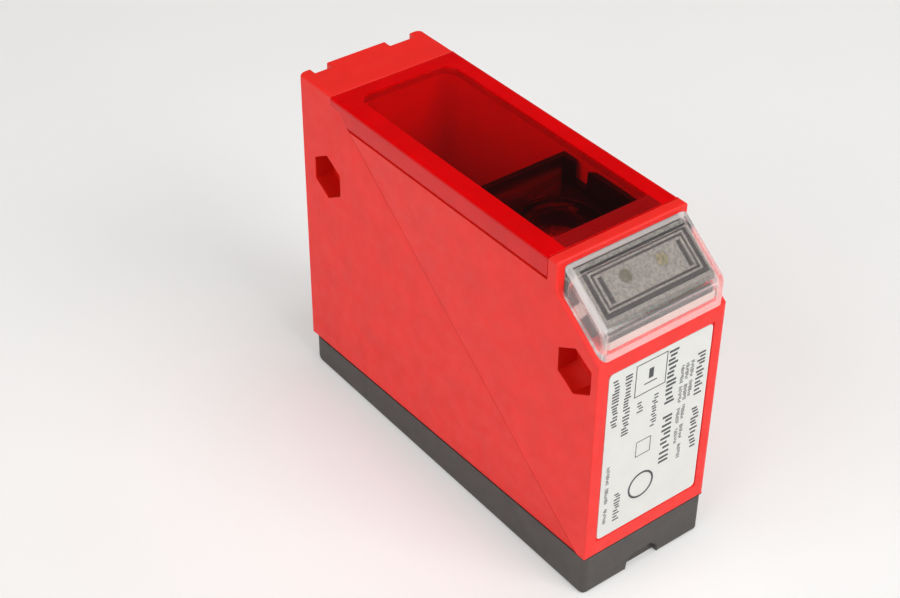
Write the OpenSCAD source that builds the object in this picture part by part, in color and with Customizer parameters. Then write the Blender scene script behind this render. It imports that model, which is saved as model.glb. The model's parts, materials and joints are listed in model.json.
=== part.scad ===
// Cubic photoelectric sensor (infrared through-beam emitter), lying on its rear cover.
// +X is the indicator end, -X the connector end, +Z the side that the beam leaves by.
// The origin is the middle of the rear face. All sizes are in millimetres.

/* [Body] */
// Length of the body, end to end
body_l = 90; // [86:1:110]
// Width across the two sides
body_w = 30; // [29:0.5:38]
// Height from the rear face to the front face
body_h = 70; // [68:1:84]
// Wall of the housing and of the rear cover
wall = 2; // [1.6:0.1:2.3]
// Height of the parting line at the indicator end
split_near = 9.4; // [8.5:0.1:12]
// Height of the parting line at the connector end
split_far = 6.4; // [5.6:0.1:9]
// Radius of the housing's upright corners at the connector end
corner_r = 1.8; // [1:0.1:2.6]
// Step between the side panels on the two sides of the diagonal
crease_step = 0.25; // [0.1:0.05:0.5]
// Depth of the two grooves in the connector end
groove_depth = 2; // [1:0.1:2.4]
// Width of the pad between the two grooves
pad_w = 14; // [13.5:0.5:15]
// Distance of the pad's middle from the body's centre plane, towards the nut pockets
pad_shift = 1; // [0:0.1:1.5]
// Width of the upright rib at each side of the connector end
side_rib = 3; // [2.4:0.1:3.4]

/* [Front window] */
// Distance of the window from the connector end
window_in = 11.3; // [9.5:0.1:13]
// Thickness of the window's plate
window_t = 2; // [1.6:0.1:2.6]
// Thickness of the skirts that wrap down the sides
skirt_t = 1.2; // [0.9:0.1:1.6]
// Height of the skirts, from the front face down
skirt_h = 4.8; // [3.6:0.1:6]
// Depth of the clear pane below the window's border
pane_step = 0.25; // [0.1:0.05:0.5]
// Width of the ledge that carries the window along each side
rim_w = 4; // [3.4:0.1:4.4]
// Width of the ledge that carries the window at the connector end
rim_far = 3.4; // [2.8:0.1:4]
// Width of the window's border at the indicator end
rim_near = 3.7; // [3:0.1:4.2]

/* [Indicator] */
// Length of body that the indicator cover takes up, measured level
ind_l = 11.65; // [10.5:0.05:12.5]
// Slope of the indicator's face below level, in degrees
ind_slope = 37; // [33:1:41]
// Upright height of the indicator cover above its seat
ind_rise = 5.8; // [5.2:0.1:6.6]
// Bar of the housing between the window and the indicator cover
bar_w = 2.4; // [2:0.1:3]
// Width of the border left at each side of the indicator cover
ind_border = 0.8; // [0.6:0.1:1.4]
// Wall of the indicator cover
ind_wall = 1.4; // [1.1:0.1:1.7]
// Diameter of each indicator lamp
lamp_d = 2.5; // [2:0.1:3]
// Distance between the two lamps
lamp_pitch = 8.2; // [7:0.1:10]

/* [Label] */
// Width of the rating label
label_w = 24.4; // [20:0.2:26]
// Height of the rating label
label_h = 39; // [34:0.5:40]
// Thickness of the rating label
label_t = 0.2; // [0.1:0.05:0.25]

/* [Fixing holes] */
// Diameter of the fixing holes, for M5
bore_d = 5.3; // [5.2:0.05:5.6]
// Distance of one hole from the indicator end
bore_in_near = 6; // [5.9:0.1:6.4]
// Distance of the other hole from the connector end
bore_in_far = 9; // [8.6:0.1:11]
// Distance of both holes below the front face
bore_drop = 19.5; // [19:0.5:21]
// Width across the flats of the nut pockets
nut_af = 8.5; // [8.2:0.1:8.8]
// Depth of the nut pockets
nut_depth = 4.5; // [4:0.1:5]

/* [Optics] */
// Length of the optics carrier
carrier_l = 25.2; // [24:0.2:26]
// Wall of the optics carrier
carrier_wall = 1.2; // [1:0.1:1.5]
// Diameter of the lens
lens_d = 17.6; // [16:0.2:18]
// Height of the lens's edge above the main board
lens_up = 18; // [17:0.5:19]
// Thickness of the lens at its edge
lens_edge = 1.5; // [1.2:0.1:2]
// Rise of the lens's dome
lens_dome = 3; // [2:0.1:3.4]
// Diameter of the emitter diode
diode_d = 5; // [4.8:0.1:5.4]

/* [Electronics] */
// Depth of the main board's upper face below the front face
board_depth = 28; // [27:0.5:30]
// Thickness of the main board
board_t = 1.6; // [1:0.1:2]
// Side of the controller chip
chip_w = 10; // [8:0.5:12]
// Diameter of the capacitors
can_d = 6.3; // [5:0.1:8]
// Height of the capacitors
can_h = 7.7; // [5.5:0.1:9]

/* [Connector] */
// Outer diameter of the connector's thread, M12
thread_d = 12; // [11.9:0.1:12.2]
// Length that the thread stands out of its flange
thread_l = 9.5; // [8:0.5:9.5]
// Height of the connector's axis above the rear face
conn_z = 21; // [20:0.5:23]
// Diameter of the connector's flange
flange_d = 13.6; // [13.4:0.1:14]
// Thickness of the connector's flange
flange_t = 2.5; // [2:0.1:3]
// Circle that the contact pins stand on
pin_circle = 5; // [4.4:0.1:5.6]
// Diameter of the contact pins
pin_d = 1; // [0.8:0.1:1.2]

/* [Rear cover] */
// Distance of two cover screws from the indicator end
screw_in_near = 8; // [7.6:0.1:9]
// Distance of two cover screws from the connector end
screw_in_far = 15; // [14:0.5:17]
// Distance of the cover screws from the sides
screw_in_y = 7.2; // [7:0.1:7.6]
// Diameter of the cover screws
screw_d = 3; // [2.5:0.1:3.2]
// Length of the cover screws under the head
screw_l = 16; // [14:0.5:18]
// Width of the notch in the rear cover's edge
notch_w = 7.4; // [5:0.2:9]
// Height of the notch
notch_h = 3.6; // [2.5:0.1:4.5]
// Radius of the rear cover's corners at the connector end
cover_r = 3.4; // [2:0.1:4]

/* [Hidden] */

$fn = 48;
// Gap between pieces that touch
touch = 0.02;
// Close clearance around pieces that are pressed or screwed in
snug = 0.05;
// Small clearance between two rigid pieces that are fitted together
fit = 0.1;
// Room for pieces that are slid in
slide = 0.2;
// Overshoot of a cut past the face that it opens
over = 1;

near_x = body_l / 2;
far_x = -body_l / 2;
half_w = body_w / 2;
split_lean = (split_near - split_far) / body_l;
bar_x1 = near_x - ind_l;
bar_x0 = bar_x1 - bar_w;
window_x0 = far_x + window_in;
window_l = bar_x0 - window_x0;
window_z = body_h - window_t;
skirt_z = body_h - skirt_h;
skirt_back = 1;
// Run of the skirts' slanted end for each millimetre of its height
skirt_slant = 0.92;
skirt_x0 = window_x0 + skirt_back;
skirt_x1 = skirt_x0 + skirt_h * skirt_slant;
board_z = body_h - board_depth;
slope_t = tan(ind_slope);
inner_y = half_w - wall;
conn_y = -pad_shift;
// Where the diagonal crease runs out beside the indicator end, and the lower panel's upright end
crease_in = 4.7;
crease_rise = 1.4;
crease_flat = 0.7;
crease_x1 = near_x - crease_in;
crease_x0 = far_x + corner_r + crease_flat;
// The label lies in a recess, behind the end face
label_back = 0.1;
label_gap = 0.2;
label_r = 1;
label_z = (split_z(near_x) + seat_z(near_x) - label_h) / 2;

function split_z(x) = split_far + (x - far_x) * split_lean;
function seat_z(x) = body_h - ind_rise - (x - bar_x1) * slope_t;
// Points of an arc about (x, z), from angle a0 to a1 in n steps
function arc(x, z, r, a0, a1, n = 8) =
    [for (i = [0:n]) [x + r * cos(a0 + (a1 - a0) * i / n), z + r * sin(a0 + (a1 - a0) * i / n)]];

// Optics chamber behind the window
chamber_y = half_w - rim_w;
chamber_x0 = window_x0 + rim_far;
chamber_sill = 0.7;
chamber_x1 = bar_x0 - chamber_sill;
chamber_r = 4;
ledge_t = 3;

// Hollow ends, beside the optics chamber
far_core_x0 = far_x + groove_depth + wall;
far_core_x1 = chamber_x0 - wall;
near_core_x0 = chamber_x1 + wall;
near_core_x1 = near_x - wall;

// Fixing holes
bore_near_x = near_x - bore_in_near;
bore_far_x = far_x + bore_in_far;
bore_z = body_h - bore_drop;
bore_xs = [bore_near_x, bore_far_x];
nut_r = nut_af / sqrt(3);
sleeve_wall = 1.5;
boss_d = bore_d + 2 * wall;
post_d = 6.4;

// Optics carrier
carrier_x1 = chamber_x1 - slide;
carrier_x0 = carrier_x1 - carrier_l;
carrier_y = chamber_y - slide;
carrier_top = window_z - pane_step - fit;
funnel_x0 = carrier_x0 + carrier_wall;
funnel_x1 = bar_x0 - rim_near;
lens_x = (funnel_x0 + funnel_x1) / 2;
lens_z = board_z + lens_up;
lens_seat_r = lens_d / 2 + fit;
lens_lip = 0.9;
ring_t = 0.8;
ring_wall = 0.8;
diode_base_t = 1;
diode_body = 5.6;
diode_up = 2;
diode_rim = 0.4;
diode_z = board_z + diode_up;
diode_leg_at = 1.27;
diode_leg_d = 0.6;
// Room under the carrier for the board's parts, and the start of the light cone
hollow_h = 3.5;
cone_h = 7;
// Round clearance in the carrier's upper edge
nick_r = 3;
nick_in = 6.4;
nick_out = 1.4;
nick_x = carrier_x0 + nick_in;
nick_y = carrier_y + nick_out;
nick_h = 4;

// Indicator cover
ind_y = half_w - ind_border;
ind_x0 = bar_x1 + fit;
ind_inner_x0 = ind_x0 + ind_wall;
ind_inner_x1 = near_x - ind_wall;
ind_inner_y = ind_y - ind_wall;
ind_roof = ind_wall / cos(ind_slope);
ind_corner_r = 2;
ind_brow_r = 2.4;
// The cover is held up from its seat by this much
seat_gap = 0.05;
// The plate, the board and the lamps are drawn flat and laid on the slope: x down it, z out of it
plate_t = 1.2;
plate_l = (ind_inner_x1 - ind_inner_x0 - 2 * fit) / cos(ind_slope) - plate_t * slope_t;
plate_shift = -plate_t * slope_t / 2;
plate_w = 2 * (ind_inner_y - fit);
plate_x = (ind_inner_x0 + ind_inner_x1) / 2;
plate_gap = 0.45;
// Sunk lines on the plate's face: their width and depth, the outer frame's half sides, the bars
line_w = 0.8;
line_d = 0.4;
frame_x = 4.8;
frame_y = 11.7;
frame_step = 1.3;
mark_l = 5.4;
mark_y = 9.1;
// Feet that the plate stands on
foot_w = 1;
foot_l = 3.8;
foot_end = 0.2;
foot_mid = 0.9;
plate_z = seat_z(plate_x) + ind_rise - ind_roof - (plate_gap + plate_t) / cos(ind_slope);
ind_board_t = 0.8;
ind_board_in = 0.8;
ind_board_side = 1.6;
ind_board_y = ind_inner_y - ind_board_side;
lamp_up = 0.25;
lamp_h = plate_t + lamp_up;
lamp_dome = 0.5;
lamp_lift = 0.6;
slot_in = 0.3;
slot_x0 = ind_inner_x0 + slot_in;
slot_l = 5;
slot_w = 9;
ceiling = 1.25 * wall;
flex_t = 0.2;
flex_w = 7;
flex_gap = 0.3;
flex_turn = 0.8;
flex_x = near_core_x0 + flex_gap;
flex_up_x = slot_x0 + flex_turn;

// Rear cover
cover_gap = 0.15;
cover_inset = 0.7;
floor_t = 2;
lip_t = 1.1;
lip_up = 2.6;
seal_h = 1.2;
seal_down = 0.8;
seal_low = lip_up - seal_down - seal_h;
seal_bite = 0.5;
land_l = 5;
notch_in = 1.4;
screw_xs = [far_x + screw_in_far, near_x - screw_in_near];
screw_ys = [-half_w + screw_in_y, half_w - screw_in_y];
head_d = 5.6;
head_t = 1.8;
// Room past the tip of a screw, and what closes a boss past that
tip_gap = 0.5;
boss_end = 1.5;
head_wall = 0.9;
post_r = head_d / 2 + head_wall;
pilot_r = screw_d / 2 + snug;
screw_z = 0.8;
boss_top = screw_z + head_t + screw_l + tip_gap + boss_end;
rib_t = 1.6;
rib_gap = 1;

// Main board
board_x0 = far_core_x0 + slide;
board_x1 = near_core_x1 - slide;
board_y = inner_y - slide;
board_low = board_z - board_t;
board_screw_d = 2.5;
board_screw_l = 5.5;
board_head_d = 4.5;
board_head_t = 1.6;

// Parts under the main board
can_gap = 1.6;
part_gap = 3;
tab_t = 0.5;
reg_w = 6;
reg_t = 2.3;
reg_y = 3.5;
surge_l = 4.4;
surge_w = 2.8;
surge_t = 2.1;
surge_y = 4;

// Connector
conn_wall_x = far_x + groove_depth + wall;
shell_wall = 0.9;
shell_in_r = thread_d / 2 - shell_wall;
shell_x0 = far_x - flange_t - thread_l;
shell_in = 5;
socket_floor = 3;
insert_back = 1;
shell_x1 = conn_wall_x + shell_in;
insert_x0 = far_x - socket_floor;
insert_x1 = shell_x1 - insert_back;
nut_t = 3;
conn_nut_af = 15;
pin_back = 1.5;
pin_in = 3;
pin_x0 = shell_x0 + pin_back;
pin_x1 = insert_x1 + pin_in;
o_ring_t = 1;
key_w = 1.2;
key_t = 1;
key_l = 5;
lead_d = 1.2;
lead_bend = 3;
header_l = 9;
header_w = 8;
header_h = 5;
header_gap = 5.25;
header_x = bore_far_x + board_head_d / 2 + header_gap + header_l / 2;
header_z = board_low - header_h;
power_x = header_x + header_l / 2 + part_gap + reg_w / 2;
can_x = power_x + reg_w / 2 + part_gap + can_d / 2;
lead_step = 3.4;
lead_in = 2;
// Distance of each pin from the connector's axis, across and up
pin_at = pin_circle / 2 / sqrt(2);
pin_tip = 0.4;

// ---------------------------------------------------------------- shared shapes

// A profile in X and Z, drawn straight across the width
module across(w, y = 0) {
    translate([0, y, 0])
        rotate([90, 0, 0])
            linear_extrude(w, center = true)
                children();
}

// A rectangle in plan with its corners at the connector end rounded
module plan_rect(x0, x1, y, r) {
    difference() {
        translate([x0, -y])
            square([x1 - x0, 2 * y]);
        for (s = [-1, 1])
            translate([x0 - over, s > 0 ? y - r : -y - over])
                square([r + over, r + over]);
    }
    for (s = [-1, 1])
        translate([x0 + r, s * (y - r)])
            circle(r);
}

// The band of the body between two heights above the parting line
module split_band(low, high, w = body_w + 2 * over) {
    across(w)
        polygon([
            [far_x - over, split_z(far_x - over) + low], [near_x + over, split_z(near_x + over) + low],
            [near_x + over, split_z(near_x + over) + high], [far_x - over, split_z(far_x - over) + high]
        ]);
}

// A cylinder straight across the width, from y0 to y1
module cross_cylinder(x, z, d, y0, y1, sides = 48) {
    translate([x, y1, z])
        rotate([90, 0, 0])
            rotate([0, 0, 30])
                cylinder(d = d, h = y1 - y0, $fn = sides);
}

// Lays flat-drawn indicator pieces on the slope, with z = 0 at the plate's underside
module on_slope() {
    translate([plate_x, 0, plate_z])
        rotate([0, ind_slope, 0])
            children();
}

// A screw that stands on its head, with a cross recess in the head's underside
module cross_screw(head, head_h, shank, shank_l) {
    recess_l = 0.56 * head;
    recess_w = 0.14 * head;
    difference() {
        union() {
            cylinder(d = head, h = head_h);
            cylinder(d = shank, h = head_h + shank_l);
        }
        for (a = [0, 90])
            rotate([0, 0, a])
                translate([-recess_l / 2, -recess_w / 2, -over])
                    cube([recess_l, recess_w, over + head_h / 2]);
    }
}

// Puts a copy at each of the four cover screws
module at_cover_screws() {
    for (x = screw_xs, y = screw_ys)
        translate([x, y, 0])
            children();
}

// Puts a copy on the connector's axis, with z along it, out of the body
module on_connector(x) {
    translate([x, conn_y, conn_z])
        rotate([0, -90, 0])
            children();
}

// ---------------------------------------------------------------- housing

module housing_plan() {
    difference() {
        plan_rect(far_x, near_x, half_w, corner_r);
        pad_y0 = conn_y - pad_w / 2;
        pad_y1 = conn_y + pad_w / 2;
        rib_y = half_w - side_rib;
        translate([far_x - over, -rib_y])
            square([groove_depth + over, pad_y0 + rib_y]);
        translate([far_x - over, pad_y1])
            square([groove_depth + over, rib_y - pad_y1]);
    }
}

module housing_block() {
    intersection() {
        linear_extrude(body_h)
            housing_plan();
        across(body_w)
            polygon([
                [far_x, split_z(far_x)], [near_x, split_z(near_x)], [near_x, seat_z(near_x)],
                [bar_x1, seat_z(bar_x1)], [bar_x1, body_h], [far_x, body_h]
            ]);
    }
}

// Everything that is hollow inside the housing
module housing_hollows() {
    translate([0, 0, board_z - over])
        linear_extrude(body_h)
            plan_rect(chamber_x0, chamber_x1, chamber_y, chamber_r);
    translate([far_core_x0, -inner_y, 0])
        cube([near_core_x1 - far_core_x0, 2 * inner_y, board_z]);
    translate([far_core_x0, -inner_y, 0])
        cube([far_core_x1 - far_core_x0, 2 * inner_y, body_h - ledge_t]);
    across(2 * inner_y)
        polygon([
            [near_core_x0, 0], [near_core_x1, 0], [near_core_x1, seat_z(near_core_x1) - ceiling],
            [near_core_x0, seat_z(near_core_x0) - ceiling]
        ]);
}

// Tubes around the fixing holes, sleeves around the nut pockets, and screw posts
module housing_bosses() {
    for (x = bore_xs) {
        cross_cylinder(x, bore_z, boss_d, -half_w + wall / 2, half_w - wall / 2);
        cross_cylinder(x, bore_z, 2 * (nut_r + sleeve_wall), -half_w + wall / 2,
            -half_w + nut_depth + sleeve_wall, 6);
        translate([x, 0, board_z])
            cylinder(d = post_d, h = bore_z - board_z);
    }
    difference() {
        at_cover_screws()
            cylinder(r = post_r, h = boss_top);
        split_band(-body_h, 0);
    }
    // Ribs that tie the cover's screw bosses to the sides, above the cover's lip
    for (x = screw_xs, s = [-1, 1]) {
        rib_z = split_z(x) + lip_up + rib_gap;
        translate([x - rib_t / 2, s > 0 ? screw_ys[1] : -inner_y - wall / 2, rib_z])
            cube([rib_t, inner_y + wall / 2 - screw_ys[1], boss_top - rib_z]);
    }
}

module window_seat() {
    translate([window_x0, -half_w - over, window_z])
        cube([window_l, body_w + 2 * over, window_t + over]);
    for (s = [-1, 1])
        across(skirt_t + over, s * (half_w - (skirt_t - over) / 2))
            polygon([[skirt_x0, body_h], [skirt_x1, skirt_z], [bar_x0, skirt_z], [bar_x0, body_h]]);
}

// Lower panel of each side, a step behind the upper one
module crease_cut() {
    for (s = [-1, 1])
        across(crease_step + over, s * (half_w - (crease_step - over) / 2))
            polygon([
                [skirt_x1, skirt_z], [crease_x1, split_z(near_x) + crease_rise],
                [crease_x1, 0], [crease_x0, 0],
                [crease_x0, body_h + over], [skirt_x0, body_h + over], [skirt_x0, body_h]
            ]);
}

module label_recess() {
    translate([near_x - label_t - label_back, -label_w / 2 - label_gap,
            label_z - label_gap])
        cube([label_t + over, label_w + 2 * label_gap, label_h + 2 * label_gap]);
}

module housing() {
    color([0.87, 0.16, 0.12])
        difference() {
            union() {
                difference() {
                    housing_block();
                    housing_hollows();
                }
                housing_bosses();
            }
            for (x = bore_xs) {
                cross_cylinder(x, bore_z, bore_d, -half_w - over, half_w + over);
                cross_cylinder(x, bore_z, 2 * nut_r, -half_w - over, -half_w + nut_depth, 6);
                translate([x, 0, board_z - over])
                    cylinder(r = board_screw_d / 2 + snug, h = board_screw_l + over);
            }
            at_cover_screws()
                cylinder(r = pilot_r, h = screw_z + head_t + screw_l + tip_gap);
            window_seat();
            crease_cut();
            label_recess();
            on_connector(conn_wall_x + over)
                cylinder(r = thread_d / 2 + fit, h = groove_depth + wall + 2 * over);
            translate([slot_x0, -slot_w / 2, seat_z(slot_x0) - 3 * wall])
                cube([slot_l, slot_w, body_h]);
        }
}

// ---------------------------------------------------------------- front window

module front_window() {
    color([0.75, 0.05, 0.06, 0.45])
        difference() {
            union() {
                translate([window_x0 + fit, -half_w, window_z])
                    cube([window_l - 2 * fit, body_w, window_t]);
                for (s = [-1, 1])
                    across(skirt_t - fit, s * (half_w - (skirt_t - fit) / 2))
                        polygon([
                            [skirt_x0 + fit, body_h], [skirt_x1 + fit, skirt_z + fit],
                            [bar_x0 - fit, skirt_z + fit], [bar_x0 - fit, body_h]
                        ]);
            }
            translate([0, 0, body_h - pane_step])
                linear_extrude(over)
                    plan_rect(chamber_x0, funnel_x1, chamber_y, chamber_r);
        }
}

// ---------------------------------------------------------------- indicator

// Side profile of the indicator cover between x0 and x1: its roof lowered, its foot above the seat
module cover_profile(x0, x1, roof, foot, brow) {
    top0 = seat_z(x0) + ind_rise - roof;
    top1 = seat_z(x1) + ind_rise - roof;
    // The brow is where the slope turns down into the upright end
    run = brow * tan((90 - ind_slope) / 2);
    polygon(concat(
        [[x0, seat_z(x0) + foot], [x0, top0]],
        arc(x1 - brow, top1 - run, brow, 90 - ind_slope, 0),
        [[x1, seat_z(x1) + foot]]
    ));
}

module indicator_cover() {
    color([0.92, 0.9, 0.9, 0.35])
        difference() {
            intersection() {
                across(2 * ind_y)
                    cover_profile(ind_x0, near_x, 0, seat_gap, ind_brow_r);
                linear_extrude(body_h + over)
                    plan_rect(ind_x0, near_x + ind_corner_r, ind_y, ind_corner_r);
            }
            across(2 * ind_inner_y)
                cover_profile(ind_inner_x0, ind_inner_x1, ind_roof, -over, ind_brow_r - ind_wall);
        }
}

module indicator_plate() {
    color([0.62, 0.62, 0.6])
        difference() {
            union() {
                on_slope()
                    translate([plate_shift - plate_l / 2, -plate_w / 2, 0])
                        cube([plate_l, plate_w, plate_t]);
                // Feet that stand on the slope beside the board
                intersection() {
                    on_slope()
                        for (s = [-1, 1], x = [-plate_l / 2 + foot_end, foot_mid])
                            translate([x, s * (plate_w - foot_w) / 2 - foot_w / 2, -ind_rise])
                                cube([foot_l, foot_w, ind_rise + plate_t / 2]);
                    across(body_w)
                        polygon([
                            [ind_inner_x0 + fit, seat_z(ind_inner_x0 + fit) + seat_gap],
                            [ind_inner_x1 - fit, seat_z(ind_inner_x1 - fit) + seat_gap],
                            [ind_inner_x1 - fit, body_h], [ind_inner_x0 + fit, body_h]
                        ]);
                }
            }
            on_slope() {
                translate([0, 0, plate_t - line_d])
                    for (k = [0, 1]) {
                        w = k == 0 ? line_w : line_w / 2;
                        x = frame_x - k * frame_step;
                        y = frame_y - k * frame_step;
                        difference() {
                            translate([-x, -y, 0])
                                cube([2 * x, 2 * y, over]);
                            translate([-x + w, -y + w, -over])
                                cube([2 * (x - w), 2 * (y - w), 3 * over]);
                        }
                    }
                for (s = [-1, 1])
                    translate([-mark_l / 2, s * mark_y - line_w / 2, plate_t - line_d])
                        cube([mark_l, line_w, over]);
                for (s = [-1, 1])
                    translate([-lamp_lift, s * lamp_pitch / 2, -over])
                        cylinder(d = lamp_d + 2 * fit, h = plate_t + 2 * over);
            }
        }
}

module indicator_board() {
    color([0.1, 0.35, 0.2])
        on_slope()
            translate([-plate_l / 2 + ind_board_in, -ind_board_y, -ind_board_t])
                cube([plate_l - 2 * ind_board_in, 2 * ind_board_y, ind_board_t]);
}

// A lamp: a round body that stands on its board and tapers in to its top
module lamp(side) {
    on_slope()
        translate([-lamp_lift, side * lamp_pitch / 2, 0]) {
            cylinder(d = lamp_d, h = lamp_h - lamp_dome);
            translate([0, 0, lamp_h - lamp_dome])
                cylinder(d1 = lamp_d, d2 = lamp_d - 2 * lamp_dome, h = lamp_dome);
        }
}

module lamp_green() {
    color([0.5, 0.55, 0.42])
        lamp(-1);
}

module lamp_yellow() {
    color([0.72, 0.68, 0.42])
        lamp(1);
}

// Flat cable from the main board up through the slot to the indicator board
module indicator_flex() {
    turn_z = seat_z(flex_up_x) - ceiling - flex_turn;
    // Height just under the indicator board, above a point
    function under_board(x) = plate_z - (ind_board_t + touch) / cos(ind_slope) - (x - plate_x) * slope_t;
    color([0.75, 0.45, 0.12])
        across(flex_w)
            polygon([
                [flex_x, board_z], [flex_x + flex_t, board_z],
                [flex_x + flex_t, turn_z - flex_t], [flex_up_x + flex_t, turn_z - flex_t],
                [flex_up_x + flex_t, under_board(flex_up_x + flex_t)],
                [flex_up_x, under_board(flex_up_x)], [flex_up_x, turn_z], [flex_x, turn_z]
            ]);
}

// ---------------------------------------------------------------- label

module rating_label() {
    flat_w = label_w - 2 * label_r;
    flat_h = label_h - 2 * label_r;
    color([0.95, 0.95, 0.94])
        translate([near_x - label_back - label_t, 0, label_z + label_h / 2])
            rotate([90, 0, 90])
                linear_extrude(label_t)
                    union() {
                        square([label_w, flat_h], center = true);
                        square([flat_w, label_h], center = true);
                        for (sx = [-1, 1], sy = [-1, 1])
                            translate([sx * flat_w / 2, sy * flat_h / 2])
                                circle(label_r);
                    }
}

// ---------------------------------------------------------------- rear cover

// Ring that follows the housing's inner wall at a distance, of a given thickness
module inner_ring(inset, t, low, high) {
    intersection() {
        difference() {
            translate([far_core_x0 + inset, -inner_y + inset, 0])
                cube([near_core_x1 - far_core_x0 - 2 * inset, 2 * (inner_y - inset), body_h]);
            translate([far_core_x0 + inset + t, -inner_y + inset + t, -over])
                cube([near_core_x1 - far_core_x0 - 2 * (inset + t), 2 * (inner_y - inset - t),
                    body_h + 2 * over]);
        }
        split_band(low, high);
    }
}

module rear_cover() {
    color([0.13, 0.12, 0.12])
        difference() {
            union() {
                difference() {
                    linear_extrude(body_h)
                        plan_rect(far_x + cover_inset, near_x, half_w - fit, cover_r);
                    split_band(-cover_gap, 2 * body_h);
                    difference() {
                        translate([far_core_x0 + slide + lip_t, -inner_y + slide + lip_t, floor_t])
                            cube([near_core_x1 - far_core_x0 - 2 * (slide + lip_t),
                                2 * (inner_y - slide - lip_t), body_h]);
                        at_cover_screws()
                            cylinder(r = post_r, h = body_h);
                        // Solid land behind the notch
                        translate([near_core_x1 - land_l, -notch_w / 2 - wall, 0])
                            cube([body_l, notch_w + 2 * wall, notch_h + wall]);
                    }
                }
                inner_ring(slide, lip_t, -cover_gap - over, lip_up);
            }
            inner_ring(slide - over, over + seal_bite, seal_low, seal_low + seal_h);
            at_cover_screws() {
                translate([0, 0, -over])
                    cylinder(r = screw_d / 2 + fit, h = body_h);
                translate([0, 0, -over])
                    cylinder(d = head_d + 2 * fit, h = over + screw_z + head_t);
            }
            // Room for the housing's bosses above the parting line
            difference() {
                at_cover_screws()
                    cylinder(r = post_r + slide, h = body_h);
                split_band(-body_h, -cover_gap);
            }
            // Notch in the lower edge of the indicator end
            translate([near_x - notch_in, 0, 0])
                rotate([90, 0, 90])
                    linear_extrude(2 * over + notch_in)
                        polygon([
                            [-0.55 * notch_w, -over], [0.55 * notch_w, -over], [0.55 * notch_w, 0],
                            [0.5 * notch_w, 0.6 * notch_h], [0.28 * notch_w, notch_h],
                            [-0.4 * notch_w, notch_h], [-0.5 * notch_w, 0.8 * notch_h],
                            [-0.55 * notch_w, 0]
                        ]);
        }
}

module rear_cover_seal() {
    color([0.2, 0.2, 0.2])
        inner_ring(snug, seal_bite + slide - snug - touch, seal_low + snug, seal_low + seal_h - snug);
}

module rear_cover_screws() {
    color([0.75, 0.76, 0.78])
        at_cover_screws()
            translate([0, 0, screw_z])
                cross_screw(head_d, head_t, screw_d, screw_l);
}

// ---------------------------------------------------------------- optics

module optics_carrier() {
    color([0.06, 0.05, 0.05])
        difference() {
            translate([carrier_x0, -carrier_y, board_z])
                cube([carrier_l, 2 * carrier_y, carrier_top - board_z]);
            // Open box above the lens
            translate([funnel_x0, -carrier_y + carrier_wall, lens_z + lens_edge + ring_t])
                cube([funnel_x1 - funnel_x0, 2 * (carrier_y - carrier_wall), body_h]);
            // Round seat for the lens and its ring
            translate([lens_x, 0, lens_z])
                cylinder(r = lens_seat_r, h = lens_edge + ring_t + over);
            // Light cone from the diode up to the lens
            translate([lens_x, 0, board_z + cone_h])
                cylinder(r1 = diode_d / 2 + lens_lip, r2 = lens_seat_r - lens_lip,
                    h = lens_z - board_z - cone_h + touch);
            translate([lens_x, 0, board_z + hollow_h - touch])
                cylinder(r = diode_d / 2 + fit, h = cone_h - hollow_h + 2 * touch);
            // Hollow over the board's parts
            translate([carrier_x0 + carrier_wall, -carrier_y + carrier_wall, board_z - over])
                cube([carrier_l - 2 * carrier_wall, 2 * (carrier_y - carrier_wall), over + hollow_h]);
            // Round clearance in the upper edge
            translate([nick_x, nick_y, carrier_top - nick_h])
                cylinder(r = nick_r, h = body_h);
        }
}

module lens() {
    clear_r = lens_d / 2 - lens_lip;
    ball_r = (clear_r * clear_r + lens_dome * lens_dome) / (2 * lens_dome);
    color([0.85, 0.87, 0.9, 0.4])
        translate([lens_x, 0, lens_z]) {
            cylinder(r = lens_d / 2, h = lens_edge);
            intersection() {
                translate([0, 0, lens_edge + lens_dome - ball_r])
                    sphere(ball_r);
                translate([0, 0, lens_edge / 2])
                    cylinder(r = clear_r, h = lens_dome + lens_edge);
            }
        }
}

module lens_ring() {
    color([0.09, 0.08, 0.08])
        translate([lens_x, 0, lens_z + lens_edge])
            difference() {
                cylinder(r = lens_d / 2, h = ring_t);
                translate([0, 0, -over])
                    cylinder(r = lens_d / 2 - ring_wall, h = ring_t + 2 * over);
            }
}

module emitter_diode() {
    color([0.35, 0.4, 0.55])
        translate([lens_x, 0, diode_z]) {
            for (s = [-1, 1])
                translate([s * diode_leg_at, 0, board_z - diode_z])
                    cylinder(d = diode_leg_d, h = diode_z - board_z + diode_base_t / 2);
            cylinder(d = diode_d + 2 * diode_rim, h = diode_base_t);
            cylinder(d = diode_d, h = diode_body);
            translate([0, 0, diode_body])
                intersection() {
                    sphere(d = diode_d);
                    cylinder(d = diode_d + over, h = diode_d);
                }
        }
}

// ---------------------------------------------------------------- electronics

module main_board() {
    color([0.08, 0.32, 0.18])
        difference() {
            translate([board_x0, -board_y, board_low])
                cube([board_x1 - board_x0, 2 * board_y, board_t]);
            for (x = bore_xs)
                translate([x, 0, board_low - over])
                    cylinder(r = board_screw_d / 2 + slide, h = board_t + 2 * over);
        }
}

module board_screws() {
    color([0.78, 0.78, 0.8])
        for (x = bore_xs)
            translate([x, 0, board_low - board_head_t])
                cross_screw(board_head_d, board_head_t, board_screw_d, board_t + board_screw_l - tip_gap);
}

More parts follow.
